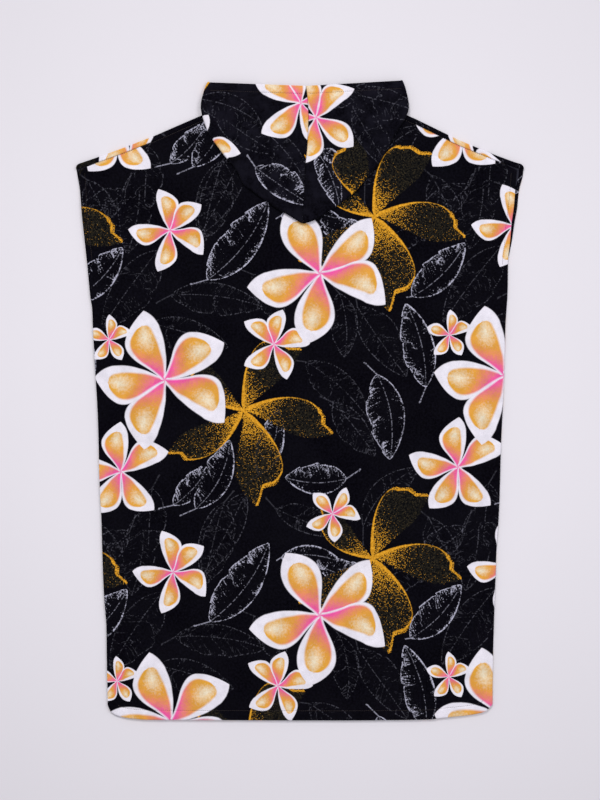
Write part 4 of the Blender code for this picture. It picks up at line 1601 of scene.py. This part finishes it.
def hem_paths(back):
    xs = np.linspace(-349.0, 350.2, 420)
    low = HEMLINE(xs)
    # Measured square to the hem, so that the line follows the rounded corners.
    dx, dy = np.gradient(xs), np.gradient(low)
    n = np.hypot(dx, dy)
    line = np.stack([xs - dy / n * HEM, low + dx / n * HEM], 1)
    inside = (line[:, 0] > BACK_LEFT(line[:, 1]) + 2.5) & (line[:, 0] < BACK_RIGHT(line[:, 1]) - 2.5)
    ys = np.linspace(244.0, 418.0, 160)
    left = np.stack([BACK_LEFT(ys) + ARM_HEM, ys], 1)
    right = np.stack([BACK_RIGHT(ys) - ARM_HEM, ys], 1)
    paths = [line[inside], left, right]
    # Beside the shoulder seams, just below the rolled strips.
    for xs in (np.linspace(-398.0, NECK_LEFT - 2.0, 150), np.linspace(NECK_RIGHT + 2.0, 392.0, 150)):
        paths.append(np.stack([xs, back_top(xs) - 1.0 * slope(xs)], 1))
    return [surface_path(back, path) for path in paths]


def face_paths(side, half):
    """The stitching of the face opening's hem, on one half of the hood."""
    table = hood_sections(side)
    start, end = table["seam"][-1], table["turn"][-1]
    along = (end - start) / np.linalg.norm(end - start)
    across = np.array([along[1], -along[0]]) * side
    steps = np.linspace(3.0, np.linalg.norm(end - start) + 2.0, 110)[:, None]
    return [surface_path(half, start + along * steps + across * FACE_HEM)]


def surface_path(obj, path, lift=0.0):
    """Points straight above or below a path of (x, y) on an object's top, in mm."""
    out = []
    for x, y in path:
        hit, at, normal, _ = obj.ray_cast((x * MM, y * MM, 0.1), (0, 0, -1))
        if hit:
            out.append((at.x / MM, at.y / MM, at.z / MM + lift))
    return np.array(out)


# =============================================================================
# The scene
# =============================================================================
def build():
    body = velour(
        "printed_velour",
        FLOWERS_OVER,
        FLOWERS_UNDER,
        GOLD,
        CHALK_LEAVES,
        (THIN_LEAVES_A, THIN_LEAVES_B),
        (340.5, 341.0),
    )
    crown = velour(
        "printed_velour_hood",
        HOOD_FLOWERS,
        None,
        HOOD_GOLD,
        HOOD_CHALK,
        (HOOD_THIN,),
        None,
        # the hood's ground is painted lighter: painted light on its pile
        lift=1.4,
    )
    terry = loops("terry_loops")
    cotton = thread("brown_thread")

    back = back_panel()
    front = front_panel()
    left = hood_half("poncho_hood_left", -1)
    right = hood_half("poncho_hood_right", 1)
    for obj, print_ in ((back, body), (front, body), (left, crown), (right, crown)):
        obj.data.materials.append(print_)
        obj.data.materials.append(terry)

    seams = stitches("hem_stitches", hem_paths(back))
    crown_seams = stitches("face_stitches", face_paths(-1, left) + face_paths(1, right))
    for obj in (seams, crown_seams):
        obj.data.materials.append(cotton)

    for obj, node in (
        (back, "back_panel"),
        (front, "front_panel"),
        (left, "hood_left"),
        (right, "hood_right"),
    ):
        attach(obj, "root")
        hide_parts(node)
    for obj, slot in ((seams, "body_velour"), (crown_seams, "hood_velour")):
        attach(obj, "root")


def stage():
    mesh = bpy.data.meshes.new("floor")
    mesh.from_pydata([(-4, -4, -0.0004), (4, -4, -0.0004), (4, 4, -0.0004), (-4, 4, -0.0004)], [], [(0, 1, 2, 3)])
    floor = bpy.data.objects.new("floor", mesh)
    bpy.context.scene.collection.objects.link(floor)
    mesh.materials.append(floor_paper("pale_floor"))

    scene = bpy.context.scene
    world = bpy.data.worlds.new("soft_room")
    scene.world = world
    world.use_nodes = True
    sky = world.node_tree.nodes["Background"]
    sky.inputs[0].default_value = (0.96, 0.95, 1.0, 1.0)
    sky.inputs[1].default_value = 0.58

    def lamp(name, place, size, power, tint, aim=(0, 0, 0)):
        light = bpy.data.lights.new(name, "AREA")
        light.shape = "DISK"
        light.size = size
        light.energy = power
        light.color = tint
        obj = bpy.data.objects.new(name, light)
        scene.collection.objects.link(obj)
        from mathutils import Vector

        obj.location = place
        obj.rotation_euler = (Vector(aim) - Vector(place)).to_track_quat("-Z", "Y").to_euler()
        return obj

    lamp("window", (-1.6, 4.9, 6.0), 2.3, 256.0, (1.0, 0.982, 0.97))
    lamp("fill", (4.4, 1.6, 6.0), 3.0, 112.0, (0.975, 0.98, 1.0))

    camera = bpy.data.cameras.new("camera")
    camera.lens = 70.0
    camera.sensor_width = 36.0
    view = bpy.data.objects.new("camera", camera)
    view.location = (0.0005, 0.0, 1.464 * 70.0 / 36.0)
    scene.collection.objects.link(view)
    scene.camera = view
    scene.view_settings.view_transform = "Standard"
    scene.view_settings.look = "None"


stage()
build()
